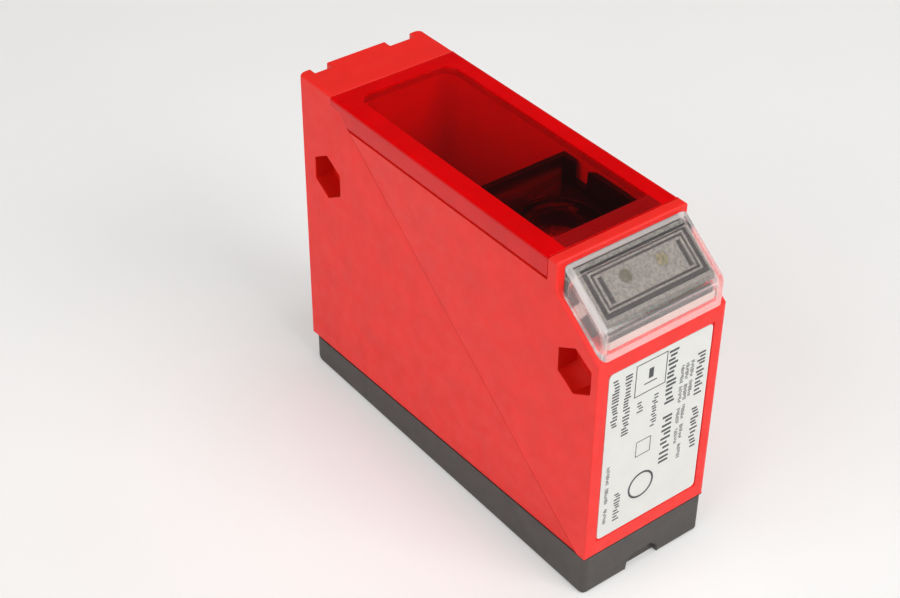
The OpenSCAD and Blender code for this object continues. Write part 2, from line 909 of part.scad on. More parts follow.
module controller_chip() {
    chip_t = 1.5;
    legs = 8;
    leg_w = 0.4;
    leg_l = 1.3;
    leg_t = 0.6;
    row = chip_w - 2;
    color([0.1, 0.1, 0.11])
        translate([lens_x, 0, board_low]) {
            translate([-chip_w / 2, -chip_w / 2, -chip_t - fit])
                cube([chip_w, chip_w, chip_t]);
            for (s = [-1, 1], i = [0:legs - 1])
                translate([-row / 2 + i * row / (legs - 1), s * (chip_w + leg_t) / 2, -leg_t / 2])
                    cube([leg_w, leg_l, leg_t], center = true);
        }
}

module capacitors() {
    base_t = 1;
    base_w = can_d + 0.3;
    color([0.7, 0.71, 0.73])
        for (s = [-1, 1])
            translate([can_x, s * (can_d + can_gap) / 2, board_low]) {
                translate([-base_w / 2, -base_w / 2, -base_t])
                    cube([base_w, base_w, base_t]);
                translate([0, 0, -can_h])
                    cylinder(d = can_d, h = can_h);
            }
}

module voltage_regulator() {
    color([0.12, 0.12, 0.13])
        translate([power_x, reg_y, board_low]) {
            translate([-reg_w / 2, -reg_w / 2, -reg_t])
                cube([reg_w, reg_w, reg_t]);
            translate([-0.43 * reg_w, reg_w / 2, -tab_t])
                cube([0.86 * reg_w, 0.2 * reg_w, tab_t]);
        }
}

module surge_diode() {
    color([0.15, 0.15, 0.16])
        translate([power_x, -surge_y, board_low]) {
            translate([-surge_l / 2, -surge_w / 2, -surge_t])
                cube([surge_l, surge_w, surge_t]);
            translate([-0.68 * surge_l, -0.29 * surge_w, -tab_t])
                cube([1.36 * surge_l, 0.58 * surge_w, tab_t]);
        }
}

module board_header() {
    color([0.9, 0.88, 0.8])
        difference() {
            translate([header_x - header_l / 2, conn_y - header_w / 2, header_z])
                cube([header_l, header_w, header_h]);
            for (k = [-1, 1], y = [-1, 1])
                translate([header_x + k * lead_step / 2, conn_y + y * pin_at, header_z - over])
                    cylinder(d = lead_d + 2 * fit, h = over + lead_in);
        }
}

// ---------------------------------------------------------------- connector

module connector_shell() {
    color([0.78, 0.77, 0.73])
        difference() {
            union() {
                on_connector(shell_x1)
                    cylinder(d = thread_d, h = shell_x1 - shell_x0);
                on_connector(far_x - o_ring_t / 2)
                    cylinder(d = flange_d, h = flange_t - o_ring_t / 2);
            }
            on_connector(shell_x1 + over)
                cylinder(r = shell_in_r, h = shell_x1 - shell_x0 + 2 * over);
        }
}

module connector_o_ring() {
    color([0.08, 0.08, 0.08])
        on_connector(far_x)
            difference() {
                cylinder(d = flange_d - 0.2, h = o_ring_t / 2);
                translate([0, 0, -over])
                    cylinder(r = thread_d / 2, h = o_ring_t + 2 * over);
            }
}

module connector_insert() {
    color([0.12, 0.12, 0.12])
        difference() {
            union() {
                on_connector(insert_x1)
                    cylinder(r = shell_in_r - touch, h = insert_x1 - insert_x0);
                // Coding key along the wall of the socket
                on_connector(insert_x0 + over)
                    translate([-shell_in_r + slide, -key_w / 2, 0])
                        cube([key_t, key_w, key_l + over]);
            }
            for (y = [-1, 1], z = [-1, 1])
                on_connector(insert_x1 + over)
                    translate([z * pin_at, y * pin_at, 0])
                        cylinder(d = pin_d + touch, h = insert_x1 - insert_x0 + 2 * over);
        }
}

module contact_pins() {
    color([0.85, 0.68, 0.3])
        for (y = [-1, 1], z = [-1, 1])
            on_connector(pin_x1)
                translate([z * pin_at, y * pin_at, 0]) {
                    cylinder(d = pin_d, h = pin_x1 - pin_x0 - pin_tip);
                    translate([0, 0, pin_x1 - pin_x0 - pin_tip])
                        cylinder(d1 = pin_d, d2 = pin_d / 2, h = pin_tip);
                }
}

module connector_nut() {
    color([0.76, 0.75, 0.72])
        on_connector(conn_wall_x + nut_t)
            difference() {
                cylinder(r = conn_nut_af / sqrt(3), h = nut_t, $fn = 6);
                translate([0, 0, -over])
                    cylinder(r = thread_d / 2 + touch, h = nut_t + 2 * over);
            }
}

// Four leads, each straight in from its pin, round a bend and up into the header
module connector_leads() {
    color([0.45, 0.3, 0.2])
        for (k = [-1, 1], y = [-1, 1]) {
            z = conn_z - k * pin_at;
            turn_x = header_x + k * lead_step / 2;
            translate([0, conn_y + y * pin_at, 0]) {
                translate([pin_x1, 0, z])
                    rotate([0, 90, 0])
                        cylinder(d = lead_d, h = turn_x - lead_bend - pin_x1);
                translate([turn_x - lead_bend, 0, z + lead_bend])
                    rotate([90, 0, 0])
                        rotate([0, 0, -90])
                            rotate_extrude(angle = 90)
                                translate([lead_bend, 0])
                                    circle(d = lead_d);
                translate([turn_x, 0, z + lead_bend])
                    cylinder(d = lead_d, h = header_z + lead_in - touch - z - lead_bend);
            }
        }
}

housing();
front_window();
indicator_cover();
indicator_plate();
indicator_board();
lamp_green();
lamp_yellow();
indicator_flex();
rating_label();
rear_cover();
rear_cover_seal();
rear_cover_screws();
optics_carrier();
lens();
lens_ring();
emitter_diode();
main_board();
board_screws();
controller_chip();
capacitors();
voltage_regulator();
surge_diode();
board_header();
connector_shell();
connector_o_ring();
connector_insert();
contact_pins();
connector_nut();
connector_leads();
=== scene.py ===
"""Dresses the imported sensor: rounded mouldings, window, clear cover, label, thread and stage."""

import json
import math
import random

import bmesh
import bpy
from bpy.props import FloatProperty, FloatVectorProperty, IntProperty, PointerProperty
from mathutils import Matrix, Vector


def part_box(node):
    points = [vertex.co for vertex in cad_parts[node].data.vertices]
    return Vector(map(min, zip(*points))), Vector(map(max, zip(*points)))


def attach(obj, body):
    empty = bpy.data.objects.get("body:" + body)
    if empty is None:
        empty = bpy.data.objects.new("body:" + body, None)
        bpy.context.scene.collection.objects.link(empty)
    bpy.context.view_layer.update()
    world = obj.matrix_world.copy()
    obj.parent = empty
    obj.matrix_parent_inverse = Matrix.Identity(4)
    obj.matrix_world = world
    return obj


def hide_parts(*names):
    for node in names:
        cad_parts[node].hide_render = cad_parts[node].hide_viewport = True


bl_info = {
    "name": "Cubic Photoelectric Sensor",
    "version": (1, 0, 0),
    "blender": (4, 5, 0),
    "location": "View3D > Sidebar > Sensor",
    "description": "Builds the visible pieces and finishes of a cubic photoelectric sensor",
    "category": "Object",
}

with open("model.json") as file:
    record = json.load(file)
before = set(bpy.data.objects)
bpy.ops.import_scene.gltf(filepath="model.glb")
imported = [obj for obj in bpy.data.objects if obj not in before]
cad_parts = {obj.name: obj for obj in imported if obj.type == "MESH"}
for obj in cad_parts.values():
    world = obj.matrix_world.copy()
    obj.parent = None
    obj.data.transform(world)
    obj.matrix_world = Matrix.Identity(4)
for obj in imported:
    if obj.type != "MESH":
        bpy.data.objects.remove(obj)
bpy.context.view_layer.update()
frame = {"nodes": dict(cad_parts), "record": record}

MM = 0.001
MERGE_DISTANCE = 1e-6
FLAT_ANGLE = math.radians(0.5)
SHARP_ANGLE = math.radians(28)
ROOT = "root"
# A range that leaves nothing out
ANY = (-math.inf, math.inf)
WHITE = (1, 1, 1, 1)
# Sizes in millimetres: the clear cover's wall, the reach of a nut pocket around its hole,
# and how far the indicator's lines and lamps lie to one side
COVER_WALL, POCKET, ASIDE = 1.3, 5.2, 0.45
# Refractive indices
ABS, ACRYLIC, POLYCARBONATE, POLYESTER, EPOXY = 1.53, 1.49, 1.58, 1.58, 1.53
LENS_POLYMER, SOLDER_MASK, LAMINATE = 1.53, 1.5, 1.45


# ---------------------------------------------------------------- shader helpers

def about(value, reach=0.1):
    """The range around a value."""
    return value - reach, value + reach


def srgb(code):
    """Linear red, green and blue of an sRGB hex colour."""
    values = [int(code[i:i + 2], 16) / 255 for i in (0, 2, 4)]
    return tuple(v / 12.92 if v <= 0.04045 else ((v + 0.055) / 1.055) ** 2.4 for v in values)


def opaque(colour):
    """A colour with full alpha, for a shader's socket."""
    return (*colour[:3], 1.0)


def darker(colour, share):
    """A colour at a share of its brightness."""
    return tuple(c * share for c in colour[:3])


def add(tree, kind, inputs=None, **settings):
    """Adds a node with its settings, and sets or links its inputs."""
    made = tree.nodes.new(kind)
    for name, value in settings.items():
        setattr(made, name, value)
    for name, value in (inputs or {}).items():
        if isinstance(value, bpy.types.NodeSocket):
            tree.links.new(value, made.inputs[name])
        else:
            made.inputs[name].default_value = value
    return made


def new_material(name):
    """An empty node material, and the object coordinates that its patterns read."""
    material = bpy.data.materials.new(name)
    material.use_nodes = True
    material.node_tree.nodes.clear()
    return material, add(material.node_tree, "ShaderNodeTexCoord").outputs["Object"]


# The next three add their nodes to the tree of the socket that they read

def noise(where, size_mm, detail=3.0, roughness=0.55):
    """A noise whose blobs are about size_mm across."""
    return add(where.id_data, "ShaderNodeTexNoise", {
        "Vector": where, "Scale": 1 / (size_mm * MM), "Detail": detail, "Roughness": roughness,
    }).outputs["Fac"]


def spread(value, low, high, start=0.3, end=0.7):
    """Maps a pattern's middle range to the range from low to high."""
    return add(value.id_data, "ShaderNodeMapRange", {
        "Value": value, "From Min": start, "From Max": end, "To Min": low, "To Max": high,
    }).outputs["Result"]


def patchy(colour, share, pattern, start=0.3, end=0.7):
    """A colour that a pattern darkens, down to a share of its brightness."""
    return add(pattern.id_data, "ShaderNodeMix", {
        "Factor": spread(pattern, 0.0, 1.0, start, end),
        "A": opaque(darker(colour, share)), "B": opaque(colour),
    }, data_type="RGBA").outputs["Result"]


def finished(material, inputs):
    """Ends a material in a principled shader with these inputs."""
    tree = material.node_tree
    shader = add(tree, "ShaderNodeBsdfPrincipled", inputs)
    add(tree, "ShaderNodeOutputMaterial", {"Surface": shader.outputs[0]})
    return material


# ---------------------------------------------------------------- mesh helpers

def box_mm(node):
    """The corners of a node's box, in millimetres."""
    low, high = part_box(node)
    return low / MM, high / MM


def middle_of(node):
    """The middle of a node's box."""
    low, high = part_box(node)
    return (low + high) / 2


def placed_faces(bm):
    """Each face with its middle, in millimetres."""
    return [(face, face.calc_center_median() / MM) for face in bm.faces]


def join_places(bm):
    """Joins vertices that share a place."""
    bmesh.ops.remove_doubles(bm, verts=bm.verts, dist=MERGE_DISTANCE)


def join_flat(bm, *delimit):
    """Joins neighbouring faces that share a plane."""
    bmesh.ops.dissolve_limit(bm, angle_limit=FLAT_ANGLE, verts=bm.verts, edges=bm.edges,
                             delimit=set(delimit))


def face_outwards(bm):
    """Turns every face of a closed mesh outwards."""
    bmesh.ops.recalc_face_normals(bm, faces=bm.faces)


def merged(node):
    """A copy of a CAD node's mesh with its loose triangles joined into flat faces."""
    bm = bmesh.new()
    bm.from_mesh(frame["nodes"][node].data)
    join_places(bm)
    join_flat(bm)
    return bm


def make_piece(name, bm, materials, *nodes):
    """Turns a bmesh into a piece that rides on the sensor and stands for the named CAD nodes."""
    mesh = bpy.data.meshes.new(name)
    bm.to_mesh(mesh)
    bm.free()
    for material in materials:
        mesh.materials.append(material)
    mesh.shade_smooth()
    mesh.set_sharp_from_angle(angle=SHARP_ANGLE)
    piece = bpy.data.objects.new(name, mesh)
    bpy.context.scene.collection.objects.link(piece)
    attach(piece, ROOT)
    if nodes:
        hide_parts(*nodes)
    return piece


def round_edges(bm, rules, default):
    """Writes each sharp edge's radius as a bevel weight: the first rule whose box holds its middle.

    A rule is (x0, x1, y0, y1, z0, z1, radius) in millimetres, with y taken without its sign.
    """
    largest = max([default] + [rule[6] for rule in rules])
    weight = bm.edges.layers.float.new("bevel_weight_edge")
    for edge in bm.edges:
        if not edge.is_manifold or edge.calc_face_angle() < SHARP_ANGLE:
            continue
        x, y, z = (edge.verts[0].co + edge.verts[1].co) / (2 * MM)
        radius = default
        for x0, x1, y0, y1, z0, z1, rule_radius in rules:
            if x0 <= x <= x1 and y0 <= abs(y) <= y1 and z0 <= z <= z1:
                radius = rule_radius
                break
        edge[weight] = radius / largest
    return largest * MM


def rounded_piece(name, bm, materials, node, rules, default, segments=3):
    """A piece whose edges are rounded by the rules."""
    width = round_edges(bm, rules, default)
    bevel = make_piece(name, bm, materials, node).modifiers.new("Rounded edges", "BEVEL")
    bevel.limit_method = "WEIGHT"
    bevel.width = width
    bevel.segments = segments
    bevel.profile = 0.5
    bevel.material = -1
    bevel.use_clamp_overlap = False
    bevel.harden_normals = True


def rounded_copy(name, node, material, rules, default, segments=3):
    """A CAD node's shape with moulded edges."""
    rounded_piece(name, merged(node), [material], node, rules, default, segments)


def finish_nodes(material, *nodes):
    """Gives CAD nodes that keep their shape a better material."""
    for node in nodes:
        for slot in frame["nodes"][node].material_slots:
            slot.material = material


def let_lamps_through(piece):
    """Clear pieces cast no shadow, so what lies behind them is lit."""
    piece.visible_shadow = False


def turned(points, centre, axis, steps=64):
    """A closed ring of (along, radius) points in millimetres, turned about an axis."""
    bm = bmesh.new()
    axis = Vector(axis)
    side = axis.orthogonal().normalized()
    ring = [bm.verts.new(centre + (axis * along + side * radius) * MM) for along, radius in points]
    # A profile that touches the axis stays open there
    closed = all(radius > 0 for _, radius in points)
    edges = [bm.edges.new((ring[i], ring[(i + 1) % len(ring)]))
             for i in range(len(ring) if closed else len(ring) - 1)]
    bmesh.ops.spin(bm, geom=ring + edges, cent=centre, axis=axis, angle=2 * math.pi, steps=steps,
                   use_merge=True)
    join_places(bm)
    face_outwards(bm)
    return bm


def slope_normal():
    """Normal of the slope that the indicator lies on."""
    bm = merged("indicator_plate")
    widest = max((f for f in bm.faces if f.normal.x > 0.3 and f.normal.z > 0.3),
                 key=lambda f: f.calc_area())
    normal = widest.normal.copy()
    bm.free()
    return normal


def plate_top():
    """Middle, normal, downhill, half length and half width of the indicator plate's top, mm."""
    low, high = box_mm("indicator_cover")
    normal = slope_normal()
    clear = COVER_WALL + 0.1
    x0, x1 = low.x + clear, high.x - clear
    x = (x0 + x1) / 2
    middle = Vector((x, 0, high.z - (x - low.x) * normal.x / normal.z))
    down = Vector((normal.z, 0, -normal.x))
    return middle - normal * (clear + 0.02), normal, down, (x1 - x0) / 2 / normal.z, high.y - clear


def rounded_plan(x0, x1, y, radius0, radius1, steps=8):
    """Outline of a rectangle, x0 to x1 and -y to y, with a corner radius at each end, mm."""
    points = []
    for cx, cy, radius, start in ((x1, y, radius1, 0), (x0, y, radius0, 90),
                                  (x0, -y, radius0, 180), (x1, -y, radius1, 270)):
        sx, sy = math.copysign(radius, cx - (x0 + x1) / 2), math.copysign(radius, cy)
        for i in range(steps + 1):
            angle = math.radians(start + 90 * i / steps)
            points.append((cx - sx + radius * math.cos(angle), cy - sy + radius * math.sin(angle)))
    return points


def closed_loop(bm, points, z):
    """Edges of a closed outline at a height, in millimetres."""
    verts = [bm.verts.new((x * MM, y * MM, z * MM)) for x, y in points]
    return [bm.edges.new((verts[i - 1], verts[i])) for i in range(len(verts))]


def cut(bm, point, normal, geom=None):
    """Cuts the whole mesh, or some of it, along a plane, in millimetres."""
    bmesh.ops.bisect_plane(bm, geom=geom or bm.verts[:] + bm.edges[:] + bm.faces[:],
                           dist=MERGE_DISTANCE, plane_co=Vector(point) * MM, plane_no=normal)


def moved(bm, made, way):
    """Moves the vertices of what an operator made, in millimetres, and returns them."""
    verts = [v for v in made if isinstance(v, bmesh.types.BMVert)]
    bmesh.ops.translate(bm, vec=Vector(way) * MM, verts=verts)
    return verts


def extruded(bm, faces, way):
    """Extrudes faces, in millimetres, and returns the new vertices and faces."""
    made = bmesh.ops.extrude_face_region(bm, geom=faces)["geom"]
    return moved(bm, made, way), [f for f in made if isinstance(f, bmesh.types.BMFace)]


def add_box(bm, middle, size, material=0, tilt=Matrix.Identity(4)):
    """Adds a box of a material, in millimetres."""
    spans = Matrix.Diagonal((*(s * MM for s in size), 1))
    box = bmesh.ops.create_cube(bm, size=1.0,
                                matrix=Matrix.Translation(Vector(middle) * MM) @ tilt @ spans)
    for face in {f for vert in box["verts"] for f in vert.link_faces}:
        face.material_index = material


# ---------------------------------------------------------------- settings

class SensorColours(bpy.types.PropertyGroup):
    """Colours of the mouldings."""
    housing: FloatVectorProperty(
        name="Housing", description="Red of the moulded housing", subtype="COLOR",
        default=srgb("F21A0C"))
    window: FloatVectorProperty(
        name="Window", description="Tint of the window's clear pane", subtype="COLOR",
        default=srgb("DE0404"))
    window_rim: FloatVectorProperty(
        name="Window rim", description="Red of the window where the housing backs it",
        subtype="COLOR", default=srgb("DC0206"))
    cover: FloatVectorProperty(
        name="Indicator cover", description="Tint of the clear cover", subtype="COLOR",
        default=srgb("FBF4F2"))
    plate: FloatVectorProperty(
        name="Indicator plate", description="Grey of the plate under the clear cover",
        subtype="COLOR", default=srgb("868680"))
    # This dark colour is also the painted shade of the dark boxes in the plate's aprons
    plate_line_and_shade: FloatVectorProperty(
        name="Plate lines", description="Dark floor of the plate's sunk lines", subtype="COLOR",
        default=srgb("141416"))
    lamp_green: FloatVectorProperty(
        name="Green lamp", description="Tint of the unlit green lamp", subtype="COLOR",
        default=srgb("787A58"))
    lamp_yellow: FloatVectorProperty(
        name="Yellow lamp", description="Tint of the unlit yellow lamp", subtype="COLOR",
        default=srgb("C4BA84"))
    label: FloatVectorProperty(
        name="Label", description="White of the label", subtype="COLOR", default=srgb("DCDCD8"))
    ink: FloatVectorProperty(
        name="Ink", description="Print on the label", subtype="COLOR", default=srgb("34343A"))
    base: FloatVectorProperty(
        name="Rear cover", description="Black of the rear cover", subtype="COLOR",
        default=srgb("46413E"))
    carrier: FloatVectorProperty(
        name="Optics carrier", description="Black of the optics carrier", subtype="COLOR",
        default=srgb("181314"))


class SensorSizes(bpy.types.PropertyGroup):
    """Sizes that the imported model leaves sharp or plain, in millimetres."""
    housing_round: FloatProperty(
        name="Housing edge", description="Radius of the housing's outer edges, mm", default=0.6,
        min=0.1, max=0.7)
    window_round: FloatProperty(
        name="Window edge", description="Radius of the window's outer edges, mm", default=0.8,
        min=0.1, max=0.9)
    cover_round: FloatProperty(
        name="Indicator cover edge", description="Radius of the clear cover's outer edges, mm",
        default=1.4, min=0.3, max=1.6)
    base_round: FloatProperty(
        name="Rear cover edge", description="Radius of the rear cover's lower edges, mm", default=0.8,
        min=0.1, max=1.0)
    thread_pitch: FloatProperty(
        name="Thread pitch", description="Pitch of the plug's M12 thread, mm", default=1.0,
        min=0.5, max=1.75)
    round_steps: IntProperty(
        name="Round steps", description="Steps around a turned piece", default=64, min=16, max=128)


class StageSettings(bpy.types.PropertyGroup):
    """Lamps, floor and surroundings."""
    key_power: FloatProperty(
        name="Key lamp", description="Power of the large lamp at the label end, W", default=7.1, min=0)
    fill_power: FloatProperty(
        name="Fill lamp", description="Power of the lamp on the nut-pocket side, W", default=5.0, min=0)
    top_power: FloatProperty(
        name="Top lamp", description="Power of the lamp overhead, W", default=4.8, min=0)
    surround: FloatProperty(
        name="Surround", description="Strength of the light around the table", default=0.5, min=0)
    overhead: FloatProperty(
        name="Overhead", description="Strength of the light from the room above", default=0.04, min=0)
    backdrop: FloatProperty(
        name="Backdrop", description="Brightness of the wall past the floor", default=0.8, min=0)
    floor: FloatVectorProperty(
        name="Floor", description="Pale floor", subtype="COLOR", default=srgb("F2F1EF"))
    floor_glow: FloatProperty(
        name="Floor glow", description="Share of the floor's brightness that is its own", default=0.33,
        min=0, max=1)


# ---------------------------------------------------------------- materials

def moulded_abs(name, colour, grain_mm, grain_depth, roughness, mottle=0.9, gloss=0.5):
    """ABS moulding from a spark-eroded tool: a satin surface with a fine even grain.

    Slow drift of the pigment, a few millimetres across, keeps large faces from looking flat.
    """
    material, where = new_material(name)
    grain = noise(where, grain_mm, detail=4.0, roughness=0.65)
    return finished(material, {
        "Base Color": patchy(colour, mottle, noise(where, 7.0)),
        "Roughness": spread(noise(where, 3.0), *about(roughness, 0.06)),
        "IOR": ABS, "Specular IOR Level": gloss, "Normal": add(where.id_data, "ShaderNodeBump", {
            "Height": grain, "Strength": 0.35, "Distance": grain_depth * MM,
        }).outputs["Normal"],
    })


def tinted_acrylic(colour):
    """Red acrylic, polished: clear, deep red where it is thick, with sharp reflections."""
    material, where = new_material("Red tinted acrylic")
    haze = spread(noise(where, 9.0), 0.015, 0.05)
    return finished(material, {
        "Base Color": opaque(colour), "Roughness": haze, "IOR": ACRYLIC, "Transmission Weight": 1.0,
    })


def backed_acrylic(name, colour, roughness):
    """Red acrylic on the housing: what shows is the red below it, under a smooth gloss."""
    material, where = new_material(name)
    return finished(material, {
        "Base Color": patchy(colour, 0.86, noise(where, 6.0)),
        "Roughness": spread(noise(where, 4.0), *about(roughness, 0.04)),
        "IOR": ACRYLIC, "Specular IOR Level": 0.3,
        "Normal": add(where.id_data, "ShaderNodeBump", {
            "Height": noise(where, 2.5), "Strength": 0.2, "Distance": 0.02 * MM,
        }).outputs["Normal"],
    })


def clear_polycarbonate(name, colour, low, high, milk):
    """Clear polycarbonate moulding: softened reflections, and milky where it was welded on."""
    material, where = new_material(name)
    return finished(material, {
        "Base Color": opaque(colour), "Roughness": spread(noise(where, 4.0), low, high),
        "IOR": POLYCARBONATE, "Transmission Weight": 1.0 - milk,
        "Normal": add(where.id_data, "ShaderNodeBump", {
            "Height": noise(where, 1.2, detail=2.0), "Strength": 0.15, "Distance": 0.04 * MM,
        }).outputs["Normal"],
    })


def lens_polymer():
    """Optical polymer, polished: colourless with crisp glints."""
    material, where = new_material("Optical polymer")
    return finished(material, {
        "Base Color": opaque(srgb("F4F6F8")), "IOR": LENS_POLYMER, "Transmission Weight": 1.0,
        "Roughness": spread(noise(where, 5.0), 0.0, 0.03),
    })


def grained_plate(colour):
    """Grey polycarbonate with a coarse leathery grain, dull."""
    material, where = new_material("Grey polycarbonate grained")
    cells = add(where.id_data, "ShaderNodeTexVoronoi", {
        "Vector": where, "Scale": 1 / (0.5 * MM),
    }, feature="SMOOTH_F1").outputs["Distance"]
    return finished(material, {
        "Base Color": patchy(colour, 0.5, cells, 0.1, 0.6),
        "Roughness": spread(noise(where, 2.0), 0.5, 0.65),
        "IOR": POLYCARBONATE, "Normal": add(where.id_data, "ShaderNodeBump", {
            "Height": cells, "Strength": 0.8, "Distance": 0.12 * MM,
        }).outputs["Normal"],
    })


def lamp_epoxy(name, colour):
    """Cast epoxy of an unlit lamp: tinted and slightly diffuse, with a lumpy skin that sparkles."""
    material, where = new_material(name)
    clouds = noise(where, 0.45, detail=4.0, roughness=0.7)
    return finished(material, {
        "Base Color": patchy(colour, 0.4, clouds, 0.4, 0.6),
        "IOR": EPOXY, "Transmission Weight": 0.75, "Roughness": spread(clouds, 0.25, 0.08),
        "Normal": add(where.id_data, "ShaderNodeBump", {
            "Height": noise(where, 0.6, detail=2.0), "Strength": 0.9, "Distance": 0.3 * MM,
        }).outputs["Normal"],
    })


def printed_film(name, colour, roughness):
    """Polyester film or its print: smooth and dull, with a faint fibre in the surface."""
    material, where = new_material(name)
    fibre = noise(where, 0.5, detail=4.0)
    return finished(material, {
        "Base Color": patchy(colour, 0.96, noise(where, 5.0)),
        "Roughness": spread(fibre, *about(roughness, 0.05)), "IOR": POLYESTER,
        "Normal": add(where.id_data, "ShaderNodeBump", {
            "Height": fibre, "Strength": 0.12, "Distance": 0.01 * MM,
        }).outputs["Normal"],
    })


def metal(name, code, grain_mm, low, high):
    """Plated or drawn metal: bright, with a roughness that follows its working marks."""
    material, where = new_material(name)
    marks = noise(where, grain_mm, detail=5.0)
    return finished(material, {
        "Base Color": patchy(srgb(code), 0.85, noise(where, 3.0)),
        "Metallic": 1.0, "Roughness": spread(marks, low, high),
        "Normal": add(where.id_data, "ShaderNodeBump", {
            "Height": marks, "Strength": 0.15, "Distance": 0.01 * MM,
        }).outputs["Normal"],
    })


def solder_mask():
    """Green solder mask over copper tracks on glass-epoxy board."""
    material, where = new_material("Green solder mask")
    tracks = add(where.id_data, "ShaderNodeTexBrick", {
        "Vector": where, "Scale": 1 / (3.0 * MM), "Mortar Size": 0.06, "Brick Width": 0.9,
        "Row Height": 0.35, "Color1": opaque(srgb("1E5A34")), "Color2": opaque(srgb("1A5230")),
        "Mortar": opaque(srgb("2E7A48")),
    }).outputs
    return finished(material, {
        "Base Color": tracks["Color"], "IOR": SOLDER_MASK,
        "Roughness": spread(noise(where, 2.0), 0.3, 0.42),
        "Normal": add(where.id_data, "ShaderNodeBump", {
            "Height": tracks["Fac"], "Strength": 0.3, "Distance": 0.03 * MM,
        }, invert=True).outputs["Normal"],
    })


# ---------------------------------------------------------------- pieces

class SENSOR_OT_housing(bpy.types.Operator):
    """Moulded red housing with softened edges"""
    bl_idname = "sensor.housing"
    bl_label = "Housing"

    def execute(self, context):
        colours, sizes = context.scene.sensor_colours, context.scene.sensor_sizes
        low, high = box_mm("housing")
        pane_low, pane_high = box_mm("front_window")
        label_low, label_high = box_mm("rating_label")
        cover_low, _ = box_mm("indicator_cover")
        holes = [Vector(m["pos_m"]) / MM for m in frame["record"]["mounts"] if m["kind"] == "bore"]
        side, rim_top, pocket_depth = high.y, 9.6, 6
        outside, skirt = (side - 0.1, side + 0.1), (side - 0.5, side + 0.1)
        window = (pane_low.x - 0.2, pane_high.x + 0.2)
        rules = [(*about(h.x, POCKET), *skirt, *about(h.z, POCKET), 0.22) for h in holes]
        rules += [
            # Lower rim along the parting line, crisp
            (*ANY, *ANY, low.z - 0.1, rim_top, 0.12),
            # Ledge that the window lies on, then everything that is hidden inside
            (pane_low.x, pane_high.x, 0, 11.2, high.z - 2.1, high.z - 1.9, 0.2),
            (pane_low.x, pane_high.x, 0, side - 1, high.z - 2.3, high.z - 1.9, 0.0),
            (low.x + 2.1, high.x - 0.5, 0, side - 1, 0, high.z - 1.9, 0.0),
            # Recess of the label, and the foot of the indicator cover
            (high.x - 0.4, high.x + 0.1, 0, side - 2, label_low.z - 0.5, label_high.z + 0.5, 0.07),
            (*about(high.x), 0, side, cover_low.z - 0.4, cover_low.z + 0.2, 0.25),
            # Upright corners at the label end
            (*about(high.x), *outside, 0, cover_low.z, 1.0),
            # Border of the indicator cover and the bar beside the window
            (cover_low.x, high.x, *outside, cover_low.z - 0.1, cover_low.z + 9, 0.6),
            (pane_high.x, pane_high.x + 0.2, *ANY, *ANY, 0.3),
            (cover_low.x - 0.3, cover_low.x, *ANY, high.z - 6, high.z + 0.1, 0.4),
            (pane_high.x, cover_low.x, *outside, *about(high.z), 0.6),
            # Seats of the window and its skirts
            (*window, 0, side - 0.3, pane_low.z - 0.2, high.z + 0.1, 0.1),
            (window[0], pane_low.x + 6, *skirt, pane_low.z - 0.2, high.z + 0.1, 0.1),
            (pane_low.x + 1, window[1], *skirt, *about(pane_low.z, 0.2), 0.1),
            # Grooves, ribs and pad of the plug end
            (low.x - 0.1, low.x + 2.1, 0, side - 2.5, *ANY, 0.35),
            # Step between the side panels
            (low.x + 1.8, high.x - 2, side - 0.4, side - 0.1, rim_top, high.z - 3, 0.02),
        ]
        bm = merged("housing")
        self.ease_crease(bm, side)
        # Painted shade: the walls of the nut pockets, and the rounding along the crease, take a darker
        # red with less gloss
        for face, (x, y, z) in placed_faces(bm):
            in_pocket = any(math.hypot(x - h.x, z - h.z) < POCKET for h in holes)
            eased = 0.5 < abs(face.normal.y) < 0.999 and face.normal.z < 0
            if (side - pocket_depth < abs(y) < side - 0.3 and in_pocket
                    or side - 0.3 < abs(y) and eased):
                face.material_index = 1
        rounded_piece("housing_moulding", bm, [
            moulded_abs("Red ABS moulded", colours.housing, 0.5, 0.05, 0.52),
            # The second material is painted shade: the housing red at 0.8 of its brightness
            moulded_abs("Red ABS painted shade", darker(colours.housing, 0.8), 0.5, 0.03, 0.6, gloss=0.12),
        ], "housing", rules, sizes.housing_round)
        return {"FINISHED"}

    @staticmethod
    def ease_crease(bm, side, profile=((0, 0.25), (0.18, 0.12), (0.38, 0.045), (0.62, 0))):
        """Rounds each side down to the panel below its diagonal crease, and widens that panel to
        the corner. Profile: (distance, depth) in millimetres.
        """
        step = profile[0][1]
        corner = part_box("housing")[0].x + 3 * MM
        for sign in (-1, 1):
            def outer(*verts):
                return all(abs(v.co.y / MM - sign * side) < 0.01 for v in verts)

            def slanting(edge):
                run = edge.verts[0].co - edge.verts[1].co
                return outer(*edge.verts) and min(abs(run.x), abs(run.z)) > 20 * MM

            # The crease is the longest edge of the side that runs neither upright nor level
            crease = max(filter(slanting, bm.edges), key=lambda e: e.calc_length())
            start, end = (v.co / MM for v in crease.verts)
            along = (end - start).normalized()
            across = Vector((along.z, 0, -along.x))
            across *= math.copysign(1, across.z)
            for distance, _ in profile:
                faces = [f for f in bm.faces if abs(f.normal.y) > 0.99 and outer(*f.verts)]
                near = {part for f in faces for part in (*f.verts, *f.edges, f)}
                cut(bm, start + across * distance, across, list(near))
            for vert in bm.verts:
                if outer(vert):
                    away = (vert.co / MM - start).dot(across)
                    depths = [depth for distance, depth in profile if abs(away - distance) < 0.02]
                    vert.co.y -= sign * (step if away < 0 else sum(depths)) * MM
                if vert.co.x < corner and vert.co.y * sign > (side - step) * MM:
                    vert.co.y = sign * (side - step) * MM
        join_places(bm)
        join_flat(bm)


